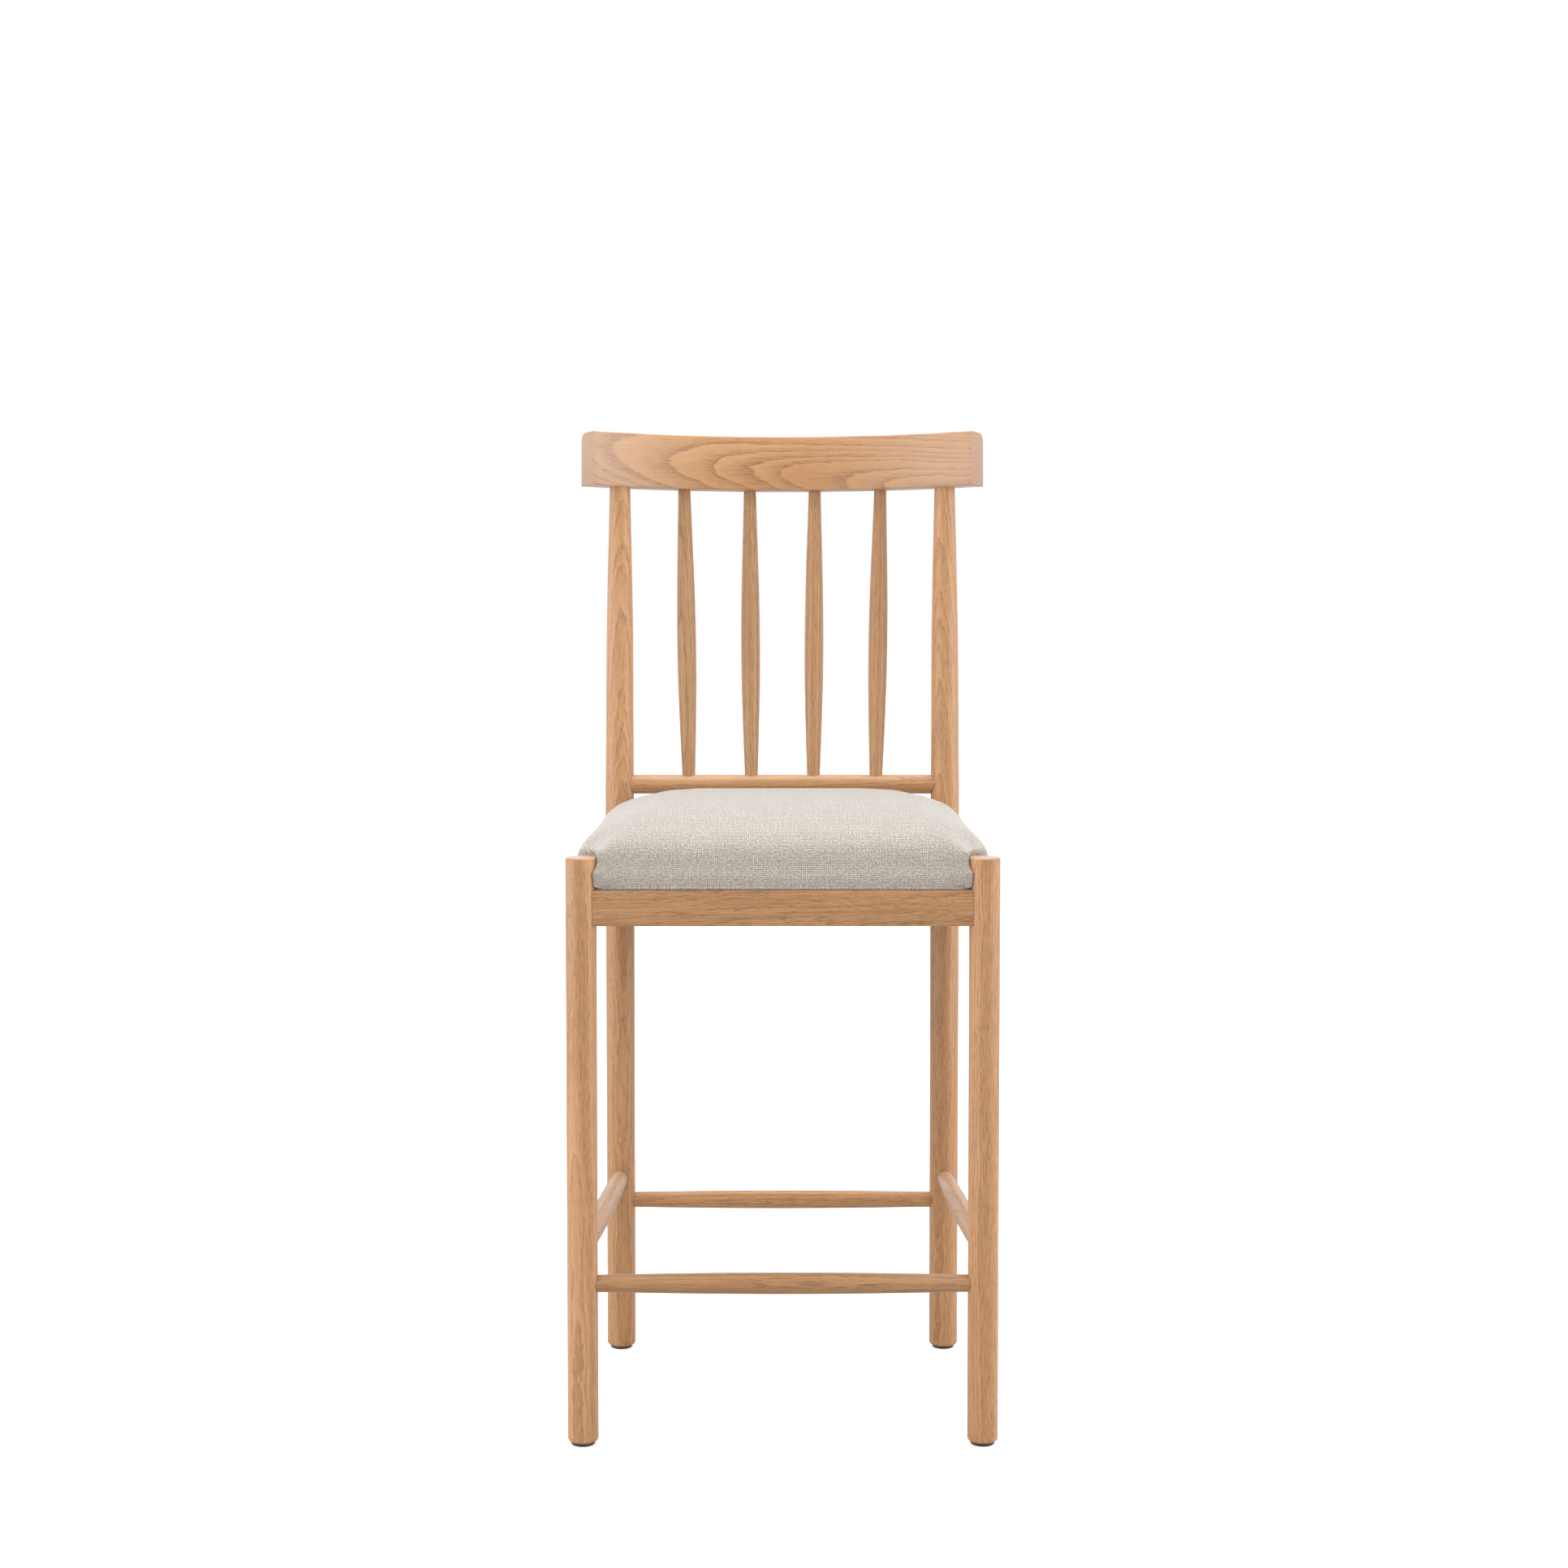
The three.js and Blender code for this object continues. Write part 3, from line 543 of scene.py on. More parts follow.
def plumped(points, normals):
    """Stands the cover a little off the foam, with fuller shoulders and back corners."""
    shoulder = np.clip(1 - (normals[:, 2:] / 0.5 - 1) ** 2, 0, 1)
    points += normals * STAND_OFF + normals * shoulder * SHOULDER_RISE
    beside = (np.abs(points[:, 0]) - CORNER_PLACE[0]) / CORNER_REACH[0]
    behind = (points[:, 1] - CORNER_PLACE[1]) / CORNER_REACH[1]
    return points + normals * np.exp(-beside**2 - behind**2)[:, None] * CORNER_RISE


def hemmed(points, normals, pairs):
    """Presses the pad's lowest rows onto the aprons, tucks them in and evens out the hem."""
    above = np.maximum(0, points[:, 2] - SEAT_UNDER)
    share = np.clip(above / HEM_FLAT, 0, 1)
    kept = share**2 * (3 - 2 * share)
    points[:, 2] = SEAT_UNDER + above * kept - HEM_SINK * (1 - kept)
    tuck = np.clip((SEAT_UNDER + HEM_TUCK_HEIGHT - points[:, 2]) / HEM_TUCK_HEIGHT, 0, 1)
    points[:, :2] -= normals[:, :2] * tuck[:, None] * HEM_TUCK
    hem = (points[:, 2] < SEAT_UNDER + HEM_HEIGHT) & (np.abs(points[:, :2]).max(axis=1) > HEM_INSIDE)
    points[:, :2] = relax(points, pairs, 14, ~hem)[:, :2]
    return points


def cushion():
    """The seat's pad: filled, faired, rolled down to the front legs, plumped and hemmed."""
    pad = cushion_blank()
    inflate(pad)
    points, held = rolled_to_legs(coords(pad)), coords(pad)[:, 2] < SEAT_UNDER + HELD_HEIGHT
    points = relax(faired(points, edges_of(pad), 24, held), edges_of(pad), 2, held)
    place(pad, points)
    modified(pad, "SUBSURF", levels=1, render_levels=1)
    normals = vertex_normals(pad)
    points = hemmed(plumped(coords(pad), normals), normals, edges_of(pad))
    place(pad, clear_of_legs(points))
    weave_map(pad)
    only(pad)
    bpy.ops.object.shade_smooth()
    return pad


def weave_map(pad, rounds=150, haste=1.6):
    """Lays the cover out flat, so that its threads run on over the edge and down the sides."""
    points, pairs, normals = coords(pad), edges_of(pad), vertex_normals(pad)
    profile = np.linspace(0, 1, 400)
    roll, crown = (1 - profile ** SEAT_ROLL[0]) ** SEAT_ROLL[1], 1 - profile**2
    height = SEAT_EDGE + (SEAT_TOP - SEAT_CROWN - SEAT_EDGE) * roll + SEAT_CROWN * crown
    level = profile * SEAT_HALF
    arc = np.concatenate([[0], np.cumsum(np.hypot(np.diff(level), np.diff(height)))])
    spare = np.interp(points[:, 2], height[::-1], (arc - level)[::-1])
    spare += np.maximum(0, SEAT_EDGE - points[:, 2])
    out = normals[:, :2] / np.maximum(np.linalg.norm(normals[:, :2], axis=1), 0.02)[:, None]
    flat = points[:, :2] + out * spare[:, None]
    length = np.linalg.norm(points[pairs[:, 0]] - points[pairs[:, 1]], axis=1)
    count = np.bincount(pairs.ravel(), minlength=len(points))[:, None]
    upper = (points[pairs, 2] > SEAT_UNDER + 0.002).all(axis=1)
    pull, rest = pairs[upper], length[upper]
    for _ in range(rounds):
        gap = flat[pull[:, 0]] - flat[pull[:, 1]]
        span = np.maximum(np.linalg.norm(gap, axis=1), 1e-7)
        fix = gap * ((span - rest) / span)[:, None] * 0.5
        step = np.zeros_like(flat)
        np.add.at(step, pull[:, 0], -fix)
        np.add.at(step, pull[:, 1], fix)
        flat += step / count * haste
    attribute(pad, "weave", "FLOAT_VECTOR", "POINT", "vector", np.column_stack([flat, points[:, 2]]))


# ---- under the seat: blocks, screws, dust cover and staples ----
def eased(node, name, offset, shrink=0.0):
    """A sawn CAD piece with its edges broken, made smaller in X and Y by a share of its size."""
    piece = bpy.data.objects.new(name, frame["nodes"][node].data.copy())
    bpy.context.scene.collection.objects.link(piece)
    only(piece)
    bpy.ops.object.mode_set(mode="EDIT")
    bpy.ops.mesh.select_all(action="SELECT")
    bpy.ops.mesh.remove_doubles(threshold=1e-6)
    bpy.ops.mesh.dissolve_limited(angle_limit=math.radians(2))
    low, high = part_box(node)
    bpy.ops.transform.resize(value=(1 - shrink, 1 - shrink, 1), center_override=(low + high) / 2)
    ease_sharp_edges(offset, 2, 50)
    bpy.ops.mesh.select_mode(type="VERT")
    return finished(piece)


def screw_frame(node):
    """Where a screw's head is in the frame, its Z pointing out of the head."""
    points = coords(frame["nodes"][node])
    middle = (points.min(axis=0) + points.max(axis=0)) / 2
    axis = np.linalg.svd(points - middle, full_matrices=False)[2][0]
    reach = (points - middle) @ axis
    off = np.linalg.norm(points - middle - np.outer(reach, axis), axis=1)
    if reach[off.argmax()] < 0:
        axis, reach = -axis, -reach
    return along(Vector(middle + axis * reach.max()), Vector(middle + axis * (reach.max() + 1)))


def screw(length):
    """A countersunk wood screw with a cross recess, its head at the origin and its point below."""
    threads = int((length - 0.016) / SCREW_PITCH)
    stations = [(-length, 0.0004), (-length + 0.003, 0.0013)]
    for turn in range(threads):
        z = -length + 0.0038 + turn * SCREW_PITCH
        stations += [(z, SCREW_CORE), (z + SCREW_PITCH / 2, SCREW_CREST)]
    stations += [(-0.0085, 0.0017), (-0.0026, 0.0018), (-0.0004, 0.00365), (0, 0.0036)]
    made = turned("screw", stations, segments=24)
    for angle in (0, math.pi / 2):
        bpy.ops.mesh.primitive_cube_add(size=1, scale=(0.0042, 0.0009, 0.0036), rotation=(0, 0, angle))
        slot = started("recess")
        pick(slot, lambda c: c.z < 0)
        bpy.ops.transform.resize(value=(0.35, 0.35, 1), center_override=(0, 0, -0.0018))
        bpy.ops.object.mode_set(mode="OBJECT")
        modified(made, "BOOLEAN", operation="DIFFERENCE", solver="EXACT", object=slot)
        bpy.data.objects.remove(slot)
    return shaded(made)


def copied(obj, name, matrix):
    """A copy with its own mesh, put in its place."""
    copy = bpy.data.objects.new(name, obj.data.copy())
    bpy.context.scene.collection.objects.link(copy)
    copy.data.transform(matrix)
    copy.data.update()
    return copy


def dust_edge(y):
    """How far the dust cover reaches to each side at y."""
    share = (y - FRONT_Y) / (REAR_Y - FRONT_Y)
    front_x = LEGS["front_right"][0].x
    return front_x + (REAR_X - front_x) * share - DUST_INSET


def dust_cover(play=0.0012, pucker=0.0003):
    """Black cloth stretched under the seat board inside the aprons, puckered a little at each staple, with
    room for the legs."""
    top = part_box("dust_cover")[1].z
    front, back = FRONT_Y + DUST_INSET, REAR_Y - DUST_INSET
    middle_y = (front + back) / 2
    bpy.ops.mesh.primitive_grid_add(x_subdivisions=110, y_subdivisions=90, size=1,
                                    location=(0, middle_y, top - CLOTH_THICKNESS))
    cloth = started("dust_cover_cloth")
    bpy.ops.transform.resize(value=(2, back - front, 1), center_override=(0, middle_y, 0))
    bpy.ops.object.mode_set(mode="OBJECT")
    points = coords(cloth)
    sides = np.array([dust_edge(y) for y in points[:, 1]])
    points[:, 0] *= sides
    from_ends = np.minimum(points[:, 1] - front, back - points[:, 1])
    from_edge = np.minimum(sides - np.abs(points[:, 0]), from_ends)
    waves = np.sin(points[:, :2] * 2 * math.pi / STAPLE_PITCH)
    sag = pucker * waves[:, 0] * waves[:, 1] * np.exp(-from_edge / 0.02)
    points[:, 2] -= np.maximum(sag, 0)
    place(cloth, points)
    only(cloth)
    bpy.ops.object.mode_set(mode="EDIT")
    reach = [(middle.x, middle.y, radius + play) for middle, radius in LEGS.values()]
    pick(cloth, lambda c: any(math.hypot(c.x - x, c.y - y) < r for x, y, r in reach))
    bpy.ops.mesh.delete(type="VERT")
    finished(cloth)
    return modified(cloth, "SOLIDIFY", thickness=CLOTH_THICKNESS, offset=0)


def staple_spots(from_corner=0.05):
    """Where each staple lies and how far it is turned: along the front and the back, then down the sides."""
    inset = APRON_THICKNESS / 2 + STAPLE_INSET
    front, back = FRONT_Y + inset, REAR_Y - inset
    spots = []
    for y in (front, back):
        half = dust_edge(y) - from_corner
        spots += [(x, y, 0.0) for x in np.linspace(-half, half, round(2 * half / STAPLE_PITCH) + 1)]
    taper = math.atan2(dust_edge(front) - dust_edge(back), back - front)
    first, last = front + from_corner, back - from_corner
    for y in np.linspace(first, last, round((last - first) / STAPLE_PITCH) + 1):
        for sign in (-1, 1):
            spots.append((sign * (dust_edge(y) - STAPLE_INSET), y, math.pi / 2 + sign * taper))
    return spots


def staples():
    """Flat-crowned staples round the dust cover's edge, none quite straight, as one piece."""
    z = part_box("dust_cover")[1].z - 0.00055
    bpy.ops.mesh.primitive_cube_add(size=1, scale=(0.0102, 0.0011, 0.0005))
    one = started("staple")
    ease_sharp_edges(0.00018, 2)
    finished(one)
    made = []
    for number, (x, y, turn) in enumerate(staple_spots()):
        skew = 0.09 * math.sin(number * 2.4)
        matrix = Matrix.Translation((x, y, z)) @ Matrix.Rotation(turn + skew, 4, "Z")
        made.append(copied(one, f"staple_{number}", matrix))
    bpy.data.objects.remove(one)
    only(made[0])
    for obj in made:
        obj.select_set(True)
    bpy.ops.object.join()
    made[0].name = "dust_cover_staples"
    return made[0]


# ---- finishes ----
class Wire:
    """A value in a finish's node tree. Sums on it add Math nodes."""

    def __init__(self, finish, socket):
        self.finish, self.socket = finish, socket

    def math(self, operation, *others):
        inputs = {i: value for i, value in enumerate((self, *others))}
        return self.finish.node("Math", inputs, operation=operation)

    def __add__(self, other):
        return self.math("ADD", other)

    def __sub__(self, other):
        return self.math("SUBTRACT", other)

    def __mul__(self, other):
        return self.math("MULTIPLY", other)

    def __truediv__(self, other):
        return self.math("DIVIDE", other)

    def __pow__(self, other):
        return self.math("POWER", other)

    __radd__ = __add__

    def __rsub__(self, other):
        return self.finish.node("Math", {0: other, 1: self}, operation="SUBTRACT")

    def __abs__(self):
        return self.math("ABSOLUTE")

    def step(self, low, high):
        """0 below low and 1 above high, with a soft change between them."""
        inputs = {"Value": self, "From Min": low, "From Max": high}
        return self.finish.node("MapRange", inputs, interpolation_type="SMOOTHSTEP")


def rgb(red, green, blue):
    """A colour given as it looks on a screen, 11 to 255, as the linear values that a socket takes."""
    return (*[((c / 255 + 0.055) / 1.055) ** 2.4 for c in (red, green, blue)], 1)


class Finish:
    """A material and the nodes that make it."""

    def __init__(self, name):
        self.material = bpy.data.materials.new(name)
        self.material.use_nodes = True
        self.shader = self.material.node_tree.nodes["Principled BSDF"]

    def put(self, socket, value):
        if isinstance(value, Wire):
            self.material.node_tree.links.new(value.socket, socket)
        else:
            socket.default_value = value

    def node(self, kind, inputs, output=0, **settings):
        """Adds a node: its settings first, then the values or links of its sockets."""
        made = self.material.node_tree.nodes.new("ShaderNode" + kind)
        for name, value in settings.items():
            setattr(made, name, value)
        for name, value in inputs.items():
            self.put(made.inputs[name], value)
        return Wire(self, made.outputs[output])

    def attribute(self, name, output="Fac"):
        return self.node("Attribute", {}, output, attribute_name=name)

    def stretched(self, vector, factors):
        return self.node("VectorMath", {0: vector, 1: factors}, operation="MULTIPLY")

    def noise(self, vector, scale=1.0, detail=2.0, rough=0.5, output="Fac"):
        inputs = {"Vector": vector, "Scale": scale, "Detail": detail, "Roughness": rough}
        return self.node("TexNoise", inputs, output)

    def streaky(self, vector, factors, detail=2, rough=0.5, output="Fac"):
        """Noise with so many features a metre along each axis."""
        return self.noise(self.stretched(vector, factors), 1, detail, rough, output)

    def mix(self, factor, first, second, blend="MIX"):
        return self.node("Mix", {0: factor, 6: first, 7: second}, 2, data_type="RGBA", blend_type=blend)

    def bump(self, height, depth):
        """Raises the surface by height times depth, in metres."""
        return self.node("Bump", {"Height": height, "Distance": depth, "Strength": 1.0})

    def made(self, **sockets):
        """Sets the shader's own sockets, by name with _ for a space, and gives the material back."""
        for name, value in sockets.items():
            self.put(self.shader.inputs[name.replace("_", " ")], value)
        return self.material


def oak():
    """Flat-sawn and rift-sawn oak under a clear matt lacquer, cut out of a solid tree."""
    wood = Finish("natural_oak")
    plank, rings = wood.attribute("plank", "Vector"), wood.attribute("rings", "Vector")
    tint, end = wood.attribute("tint"), wood.attribute("end_grain")
    figure = wood.attribute("figure")
    wander = wood.streaky(plank, (14, 14, 5), 2, 0.6, "Color")
    ripple = wood.streaky(plank, (150, 150, 46), 3, 0.6, "Color")
    wide, fine = figure * 0.016, figure * 0.005
    wide = wood.node("CombineXYZ", {"X": wide, "Y": wide})
    fine = wood.node("CombineXYZ", {"X": fine, "Y": fine})
    bent = wood.node("VectorMath", {0: wander, 1: wide, 2: rings}, operation="MULTIPLY_ADD")
    bent = wood.node("VectorMath", {0: ripple, 1: fine, 2: bent}, operation="MULTIPLY_ADD")
    radius = wood.node("VectorMath", {0: wood.stretched(bent, (1, 1, 0))}, "Value", operation="LENGTH")
    uneven = wood.node("TexNoise", {"W": radius * 130, "Scale": 1.0, "Detail": 1.0}, noise_dimensions="1D")
    turns = radius / RING_WIDTH + uneven * 2.0
    ring = turns.math("FRACT")
    next_ring = ring.step(0.9, 1.0)
    early = (1 - ring) ** 1.5 * (1 - next_ring) + next_ring
    vessels = wood.streaky(plank, (1300, 1300, 90), 1.5, 0.6)
    pores = vessels.step(0.52, 0.62) * (early * 0.9 + 0.1)
    strands = wood.streaky(plank, (680, 680, 70), 2, 0.65)
    dashes = strands.step(0.52, 0.62) * (early * 0.75 + 0.25)
    fibre = wood.streaky(plank, (1900, 1900, 26), 2, 0.6)
    streaks = wood.streaky(plank, (420, 420, 7), 2, 0.6)
    bands = wood.streaky(plank, (120, 120, 3), 2, 0.5)
    patches = wood.streaky(plank, (18, 18, 4), 2, 0.5)
    colour = wood.mix(patches.step(0.3, 0.7), rgb(223, 168, 116), rgb(211, 152, 98))
    colour = wood.mix(early ** 1.6 * (1.05 - figure * 0.5), colour, rgb(174, 116, 68))
    colour = wood.mix(bands.step(0.35, 0.65) * figure * 0.35, colour, rgb(192, 132, 80))
    colour = wood.mix(streaks.step(0.44, 0.62) * figure * 0.45, colour, rgb(172, 116, 68))
    colour = wood.mix(dashes * figure * 0.5, colour, rgb(134, 84, 43))
    colour = wood.mix(pores * 0.5, colour, rgb(116, 72, 38))
    colour = wood.mix(fibre.step(0.25, 0.75) * 0.3, colour, rgb(240, 194, 142))
    # painted highlight: mixes in a whitish veil that stands in for side light reflected off the crest rail's
    # ends
    colour = wood.mix(wood.attribute("painted_highlight"), colour, rgb(232, 206, 186))
    colour = wood.mix(end * 0.8, colour, rgb(186, 148, 120))
    shade = 1 - tint
    dyed = wood.node("CombineColor", {"Red": shade, "Green": shade, "Blue": shade ** 1.2})
    colour = wood.mix(1.0, colour, dyed, "MULTIPLY")
    height = fibre * 0.15 - pores * 0.9 - dashes * 0.3
    return wood.made(Base_Color=colour, Roughness=0.46 + pores * 0.3 + fibre * 0.08,
                     Coat_Weight=0.6, Coat_Roughness=0.34, Sheen_Weight=0.5, Sheen_Roughness=0.3,
                     Normal=wood.bump(height, 0.0002))


def linen():
    """Ecru plain weave of uneven, slubbed threads: small round knots, with painted shade darkening the gaps
    between.
    """
    cloth = Finish("ecru_linen")
    flat = cloth.attribute("weave", "Vector")
    sway = cloth.noise(flat, 60, 2, 0.5, "Color")
    flat = cloth.node("VectorMath", {0: sway, 1: (0.002, 0.002, 0), 2: flat}, operation="MULTIPLY_ADD")
    fine = cloth.noise(flat, 330, 1, 0.5, "Color")
    flat = cloth.node("VectorMath", {0: fine, 1: (0.0016, 0.0009, 0), 2: flat}, operation="MULTIPLY_ADD")
    place_x = cloth.node("SeparateXYZ", {0: flat}, "X")
    place_y = cloth.node("SeparateXYZ", {0: flat}, "Y")
    warp_wave = (place_x * (math.pi / THREAD_PITCH)).math("SINE")
    weft_wave = (place_y * (math.pi / THREAD_PITCH)).math("SINE")
    crossing = warp_wave * weft_wave * 0.5
    warp = abs(warp_wave) * 0.5 + crossing
    weft = abs(weft_wave) * 0.5 - crossing
    height = warp.math("MAXIMUM", weft)
    over = (warp - weft).step(-0.15, 0.15)
    warp_slub = cloth.streaky(flat, (480, 60, 0), 2, 0.6)
    weft_slub = cloth.streaky(flat, (30, 480, 0), 2, 0.6)
    yarn = over * warp_slub + (1 - over) * weft_slub
    fuzz = cloth.noise(flat, 2600, 2, 0.6)
    knot = cloth.noise(flat, 900, 1, 0.5)
    light = (yarn.step(0.36, 0.66) * 0.45 + knot.step(0.36, 0.62) * 0.55).math("MINIMUM", 1.0)
    pebble = cloth.streaky(flat, (470, 540, 0), 1, 0.5)
    light = light * 0.5 + pebble.step(0.38, 0.6) * 0.5
    colour = cloth.mix(light, rgb(182, 166, 148), rgb(252, 246, 238))
    # painted shade: the gaps between the threads are darkened in the colour, where shade falls between them
    colour = cloth.mix((1 - height.step(0.15, 0.8)) * 0.62, colour, rgb(124, 102, 78))
    colour = cloth.mix(fuzz.step(0.3, 0.8) * 0.12, colour, rgb(240, 236, 228))
    relief = height * 0.9 + yarn * 0.2 + knot * 0.4 + pebble * 0.6 + fuzz * 0.15
    return cloth.made(Base_Color=colour, Roughness=0.92 - height * 0.06, Sheen_Weight=1.0,
                      Sheen_Roughness=0.45, Normal=cloth.bump(relief, 0.001))


def nylon():
    """Moulded nylon, dulled by standing on it."""
    plastic = Finish("dark_nylon")
    spot = plastic.node("TexCoord", {}, "Object")
    scuffs = plastic.noise(spot, 900, 3, 0.65)
    blotch = plastic.noise(spot, 120, 2)
    colour = plastic.mix(scuffs.step(0.5, 0.8) * 0.5, rgb(66, 60, 54), rgb(104, 98, 90))
    colour = plastic.mix(blotch.step(0.4, 0.7) * 0.3, colour, rgb(52, 46, 42))
    return plastic.made(Base_Color=colour, Roughness=0.5 + scuffs * 0.2, Normal=plastic.bump(scuffs, 0.00004))


def pale_wood(name, light, dark, run, saw_marks=0.0):
    """Plain unfinished timber for the hidden pieces. run is the direction that its grain follows."""
    timber = Finish(name)
    spot = timber.node("TexCoord", {}, "Object")
    factors = [18.0 if axis == run else 420.0 for axis in "XYZ"]
    strands = timber.streaky(spot, factors, 3, 0.6)
    figure = timber.streaky(spot, [f / 8 for f in factors], 2)
    colour = timber.mix(strands.step(0.35, 0.7), light, dark)
    colour = timber.mix(figure.step(0.35, 0.65) * 0.35, colour, dark)
    kerf = timber.node("TexWave", {"Vector": spot, "Scale": 160.0, "Distortion": 2.0}, "Fac")
    height = strands * 0.6 + kerf * saw_marks
    return timber.made(Base_Color=colour, Roughness=0.72 - strands * 0.1, Normal=timber.bump(height, 0.0002))


def plywood():
    """Sanded birch plywood: veneer on its faces and glue lines on its edges."""
    sheet = Finish("birch_plywood")
    spot = sheet.node("TexCoord", {}, "Object")
    layer = (sheet.node("SeparateXYZ", {0: spot}, "Z") / 0.0015).math("FRACT")
    line = 1 - abs(layer - 0.5).step(0.0, 0.14)
    strands = sheet.streaky(spot, (14, 380, 380), 3, 0.6)
    face = abs(sheet.node("SeparateXYZ", {0: sheet.node("NewGeometry", {}, "Normal")}, "Z"))
    colour = sheet.mix(strands.step(0.3, 0.7), rgb(222, 192, 148), rgb(204, 168, 122))
    colour = sheet.mix(line * (1 - face) * 0.7, colour, rgb(128, 84, 50))
    return sheet.made(Base_Color=colour, Roughness=0.6 + strands * 0.15, Normal=sheet.bump(strands, 0.0001))


def foam():
    """Cut open-cell foam."""
    block = Finish("cut_foam")
    spot = block.node("TexCoord", {}, "Object")
    cells = block.node("TexVoronoi", {"Vector": spot, "Scale": 900.0}, "Distance")
    colour = block.mix(cells.step(0.1, 0.6), rgb(208, 190, 140), rgb(240, 228, 188))
    return block.made(Base_Color=colour, Roughness=0.85 + cells * 0.1, Normal=block.bump(cells, 0.0005))


def spunbond():
    """Black non-woven cloth, spot-welded in a fine diamond grid."""
    cloth = Finish("black_spunbond")
    spot = cloth.node("TexCoord", {}, "Object")
    x = cloth.node("SeparateXYZ", {0: spot}, "X")
    y = cloth.node("SeparateXYZ", {0: spot}, "Y")
    grid = ((x + y) * 1900).math("SINE") * ((x - y) * 1900).math("SINE")
    welds = abs(grid).step(0.55, 0.85)
    fibres = cloth.noise(spot, 1300, 3, 0.7)
    colour = cloth.mix(fibres.step(0.35, 0.75), rgb(24, 24, 26), rgb(54, 54, 57))
    colour = cloth.mix(welds * 0.6, colour, rgb(16, 16, 17))
    return cloth.made(Base_Color=colour, Roughness=0.8 - welds * 0.25,
                      Normal=cloth.bump(fibres - welds * 0.7, 0.0003))


def zinc():
    """Bright zinc plating, slightly clouded."""
    metal = Finish("zinc_plate")
    spot = metal.node("TexCoord", {}, "Object")
    cloud = metal.noise(spot, 800, 3, 0.6)
    colour = metal.mix(cloud.step(0.3, 0.7), rgb(196, 198, 202), rgb(164, 166, 170))
    return metal.made(Base_Color=colour, Metallic=1.0, Roughness=0.3 + cloud * 0.2,
                      Normal=metal.bump(cloud, 0.00003))


# ---- studio ----
def surroundings():
    """White walls: full white where they are looked at or mirrored, and a softer fill as light."""
    world = bpy.data.worlds.new("studio_white")
    world.use_nodes = True
    bpy.context.scene.world = world
    nodes, links = world.node_tree.nodes, world.node_tree.links
    seen, fill = nodes["Background"], nodes.new("ShaderNodeBackground")
    for background, strength in ((seen, 1.0), (fill, 0.7)):
        background.inputs["Color"].default_value = (1, 1, 1, 1)
        background.inputs["Strength"].default_value = strength
    path, mix = nodes.new("ShaderNodeLightPath"), nodes.new("ShaderNodeMixShader")
    either = nodes.new("ShaderNodeMath")
    either.operation = "MAXIMUM"
    links.new(path.outputs["Is Camera Ray"], either.inputs[0])
    links.new(path.outputs["Is Glossy Ray"], either.inputs[1])
    links.new(either.outputs[0], mix.inputs[0])
    links.new(fill.outputs[0], mix.inputs[1])
    links.new(seen.outputs[0], mix.inputs[2])
    links.new(mix.outputs[0], nodes["World Output"].inputs["Surface"])


def studio():
    view = bpy.context.scene.view_settings
    view.view_transform = "Standard"
    view.look = "None"
    surroundings()
    softbox("overhead_softbox", (0, 0.3, 3.2), (0, 0.1, 0.6), 2.8, 2.0, 66)
    softbox("left_softbox", (-2.4, -0.7, 0.9), (0, 0, 0.55), 2.6, 1.8, 29)
    softbox("right_softbox", (2.4, -0.7, 0.9), (0, 0, 0.55), 2.6, 1.8, 29)
    floor()
    camera()


def softbox(name, place_at, aim, width, depth, watts):
    light = bpy.data.lights.new(name, "AREA")
    light.shape, light.energy = "RECTANGLE", watts
    light.size, light.size_y = width, depth
    lamp = bpy.data.objects.new(name, light)
    bpy.context.scene.collection.objects.link(lamp)
    lamp.location = place_at
    lamp.rotation_euler = (Vector(aim) - Vector(place_at)).to_track_quat("-Z", "Y").to_euler()


def floor():
    bpy.ops.mesh.primitive_plane_add(size=30, location=(0, 0, -0.0002))
    plane = bpy.context.object
    plane.name = "studio_floor"
    paper = Finish("white_paper")
    spot = paper.node("TexCoord", {}, "Object")
    mottle = paper.noise(spot, 3, 2)
    seen = paper.node("LightPath", {}, "Is Camera Ray")
    tone = paper.mix(mottle, (0.44, 0.44, 0.44, 1), (0.46, 0.46, 0.46, 1))
    tone = paper.mix(seen, tone, (0.9, 0.9, 0.9, 1))
    glow = paper.mix(seen, (0, 0, 0, 1), (1, 1, 1, 1))
    plane.data.materials.append(paper.made(Base_Color=tone, Roughness=0.9, Emission_Color=glow,
                                           Emission_Strength=0.55))


def camera():
    lens = bpy.data.cameras.new("camera")
    lens.lens, lens.sensor_width, lens.shift_y = CAMERA_LENS, 36, CAMERA_SHIFT
    eye = bpy.data.objects.new("camera", lens)
    bpy.context.scene.collection.objects.link(eye)
    eye.location = CAMERA_AT
    eye.rotation_euler = (math.radians(90 - CAMERA_PITCH), 0, math.radians(CAMERA_TURN))
    bpy.context.scene.camera = eye


# ---- putting it together ----
def fitted(obj, material, slot, *nodes):
    """Gives a piece its finish, its body and the nodes that it stands for; its slot argument is not used."""
    obj.data.materials.clear()
    obj.data.materials.append(material)
    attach(obj, "root")
    if nodes:
        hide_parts(*nodes)
    return obj


def build_legs(wood):
    for sign, hand in ((-1, "left"), (1, "right")):
        pith = LEGS[f"front_{hand}"][0] + Vector((-0.035 * sign, 0.085, 0))
        leg = grain(front_leg(hand), (0.006 * sign, 0.01, 1), pith, drift=(0.01, 0.02), tint=-0.05,
                    skip=1.7 + sign, figure=0.6)
        fitted(leg, wood, "oak", f"front_leg_{hand}")
        pith = LEGS[f"rear_{hand}"][0] + Vector((0.03 * sign, 0.075, 0))
        leg = grain(rear_leg(hand), (0.004, 0.03, 1), pith, drift=(0.0, 0.02), tint=0.04,
                    skip=6.1 + sign * 2, figure=0.7)
        fitted(leg, wood, "oak", f"rear_leg_{hand}")


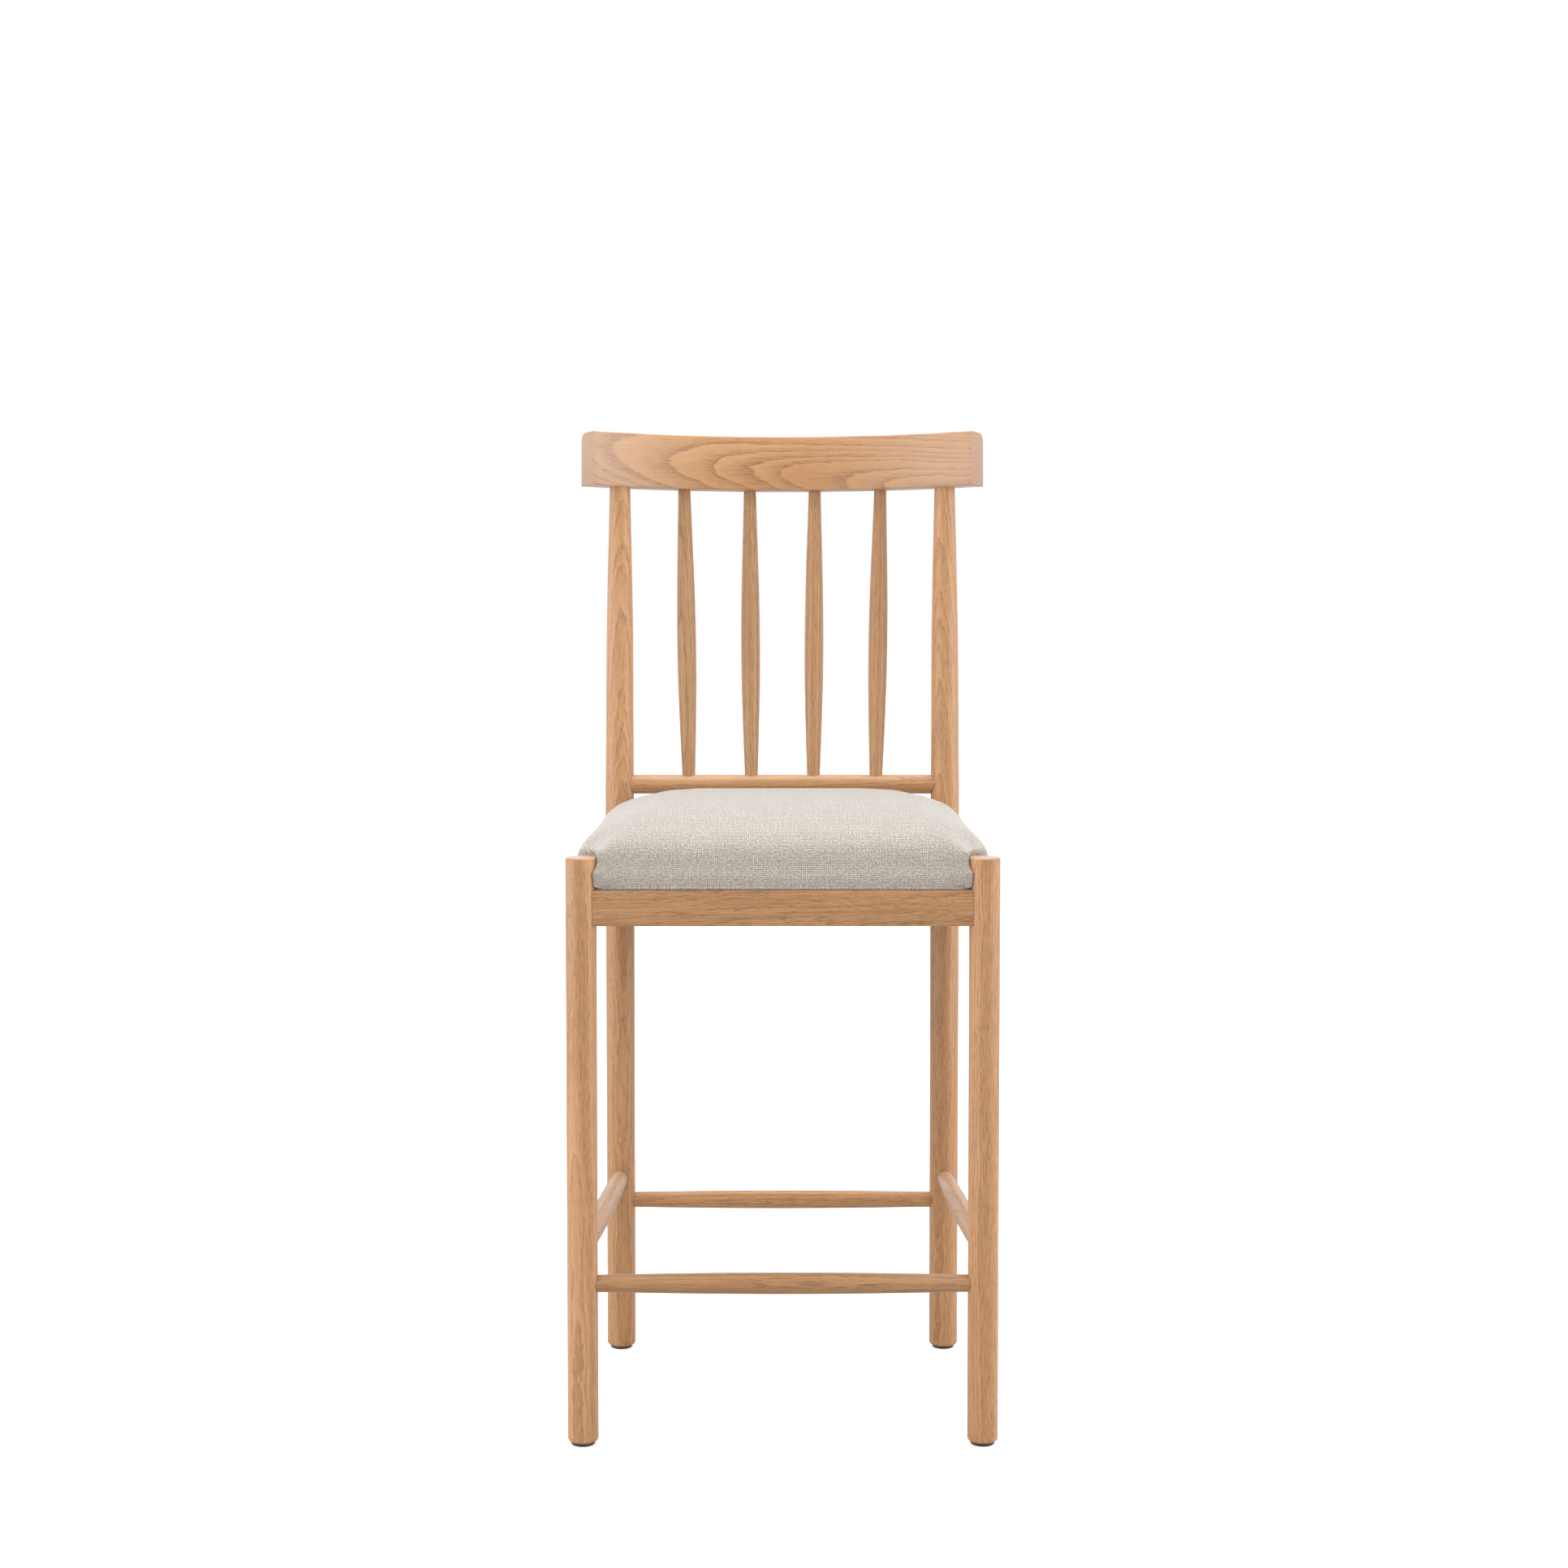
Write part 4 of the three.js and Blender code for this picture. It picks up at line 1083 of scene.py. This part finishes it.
def build_crest(wood):
    """The crest rail, sawn flat and bent, with a pointed figure in the middle and a painted highlight,
    whitish reflected side light, on its ends.
    """
    rail = crest_rail()
    flat = unbent(coords(rail))
    # painted highlight: the ends are whitened in the colour, standing in for side light reflected off the
    # bowed face, the left more than the right
    from_figure = np.clip((np.abs(flat[:, 0] + 0.03) - 0.06) / 0.14, 0, 1)
    painted_end_highlight = from_figure * np.where(flat[:, 0] < 0, 0.36, 0.24)
    grain(rail, (1, 0, 0.01), (-0.019, -0.0525, 0.024), drift=(0.1, -0.13), tint=0.03, skip=11.3, figure=0.3,
          growth=1.5, points=flat, painted_highlight=painted_end_highlight)
    fitted(rail, wood, "oak", "crest_rail")


def build_lower_back_rail(wood):
    rail = grain(lower_back_rail(), (1, 0.01, 0.004), (0, REAR_Y - 0.05, 0.71), drift=(0, 0.03), tint=0.16,
                 skip=15.2, figure=0.6)
    fitted(rail, wood, "oak", "lower_back_rail")


def middle_height(node):
    return sum(corner.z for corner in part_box(node)) / 2


def build_sides(wood):
    """A stretcher and an apron between each two neighbouring legs."""
    up = Vector((0, 0, 1))
    for number, side in enumerate(SIDES):
        a, b = (LEGS[corner][0] for corner in SIDES[side])
        run = (b - a).normalized()
        out = Vector((run.y, -run.x, 0))
        pith = (a + b) / 2 + Vector((0, 0, middle_height(f"{side}_stretcher")))
        pith += out * 0.05 + up * (0.03 - 0.02 * number)
        rod = grain(stretcher(side), run + up * 0.008, pith, drift=(0.02, 0.02), tint=STRETCHER_TINT[side],
                    skip=20.5 + 3.1 * number, figure=0.8)
        fitted(rod, wood, "oak", f"{side}_stretcher")
        pith = (a + b) / 2 + Vector((-0.05, 0, middle_height(f"{side}_apron") - 0.012)) - out * 0.055
        board = grain(apron(side), run + up * 0.02 + out * 0.006, pith, drift=(0.0, 0.03), tint=0.1,
                      skip=40.5 + 2.7 * number, figure=1.5)
        fitted(board, wood, "oak", f"{side}_apron")


def build_spindles(wood):
    for number, place_x in enumerate(SPINDLE_BOTTOMS, 1):
        bottom, top = spindle_ends(place_x)
        run = (top - bottom) + Vector((0.002 * number, 0, 0))
        pith = bottom + Vector((0.04 * (-1) ** number, -0.05 + 0.012 * number, 0))
        rod = grain(spindle(number, place_x), run, pith, drift=(0.01, 0.03), tint=0.22 + 0.03 * (number % 3),
                    skip=60 + 2.3 * number, figure=0.8)
        fitted(rod, wood, "oak", f"back_spindle_{number}")


def build_underside(timber, metal, board):
    for corner in LEGS:
        block = eased(f"corner_block_{corner}", f"corner_block_{corner}_wood", 0.0007)
        fitted(block, timber, "block", f"corner_block_{corner}")
    fitted(eased("seat_board", "seat_board_ply", 0.0005, BOARD_SHRINK), board, "plywood", "seat_board")
    for uses, length in ((("across", "deep"), 0.032), (("seat",), 0.034)):
        one = screw(length)
        for node in [f"screw_{use}_{corner}" for use in uses for corner in LEGS]:
            fitted(copied(one, f"{node}_steel", screw_frame(node)), metal, "screw", node)
        bpy.data.objects.remove(one)
    cloth = fitted(dust_cover(), spunbond(), "dust_cover", "dust_cover")
    fitted(staples(), metal, "screw")
    wide = 2 * max(dust_edge(FRONT_Y), dust_edge(REAR_Y))
    narrow = 2 * min(dust_edge(FRONT_Y), dust_edge(REAR_Y))
    deep = REAR_Y - FRONT_Y - APRON_THICKNESS
    (wide + narrow) / 2 * deep


def build():
    wood = oak()
    build_legs(wood)
    build_crest(wood)
    build_lower_back_rail(wood)
    build_sides(wood)
    build_spindles(wood)
    plastic = nylon()
    for corner in LEGS:
        fitted(glide(corner), plastic, "glide", f"foot_glide_{corner}")
    pad = fitted(cushion(), linen(), "linen", "seat_cover", "seat_foam")
    timber = pale_wood("sawn_block", rgb(214, 178, 132), rgb(188, 148, 102), "X", 0.4)
    metal, board = zinc(), plywood()
    build_underside(timber, metal, board)
    beech = pale_wood("beech_dowel", rgb(220, 184, 140), rgb(196, 156, 112), "Z")
    node_finishes = {"block": timber, "dowel": beech, "plywood": board, "foam": foam(), "oak": wood,
                     "dust_cover": spunbond(), "screw": metal, "glide": plastic,
                     "linen": pad.data.materials[0]}
    for sub in frame["record"]["subparts"]:
        for slot in frame["nodes"][sub["node"]].material_slots:
            slot.material = node_finishes[sub["material_slot"]]


studio()
build()
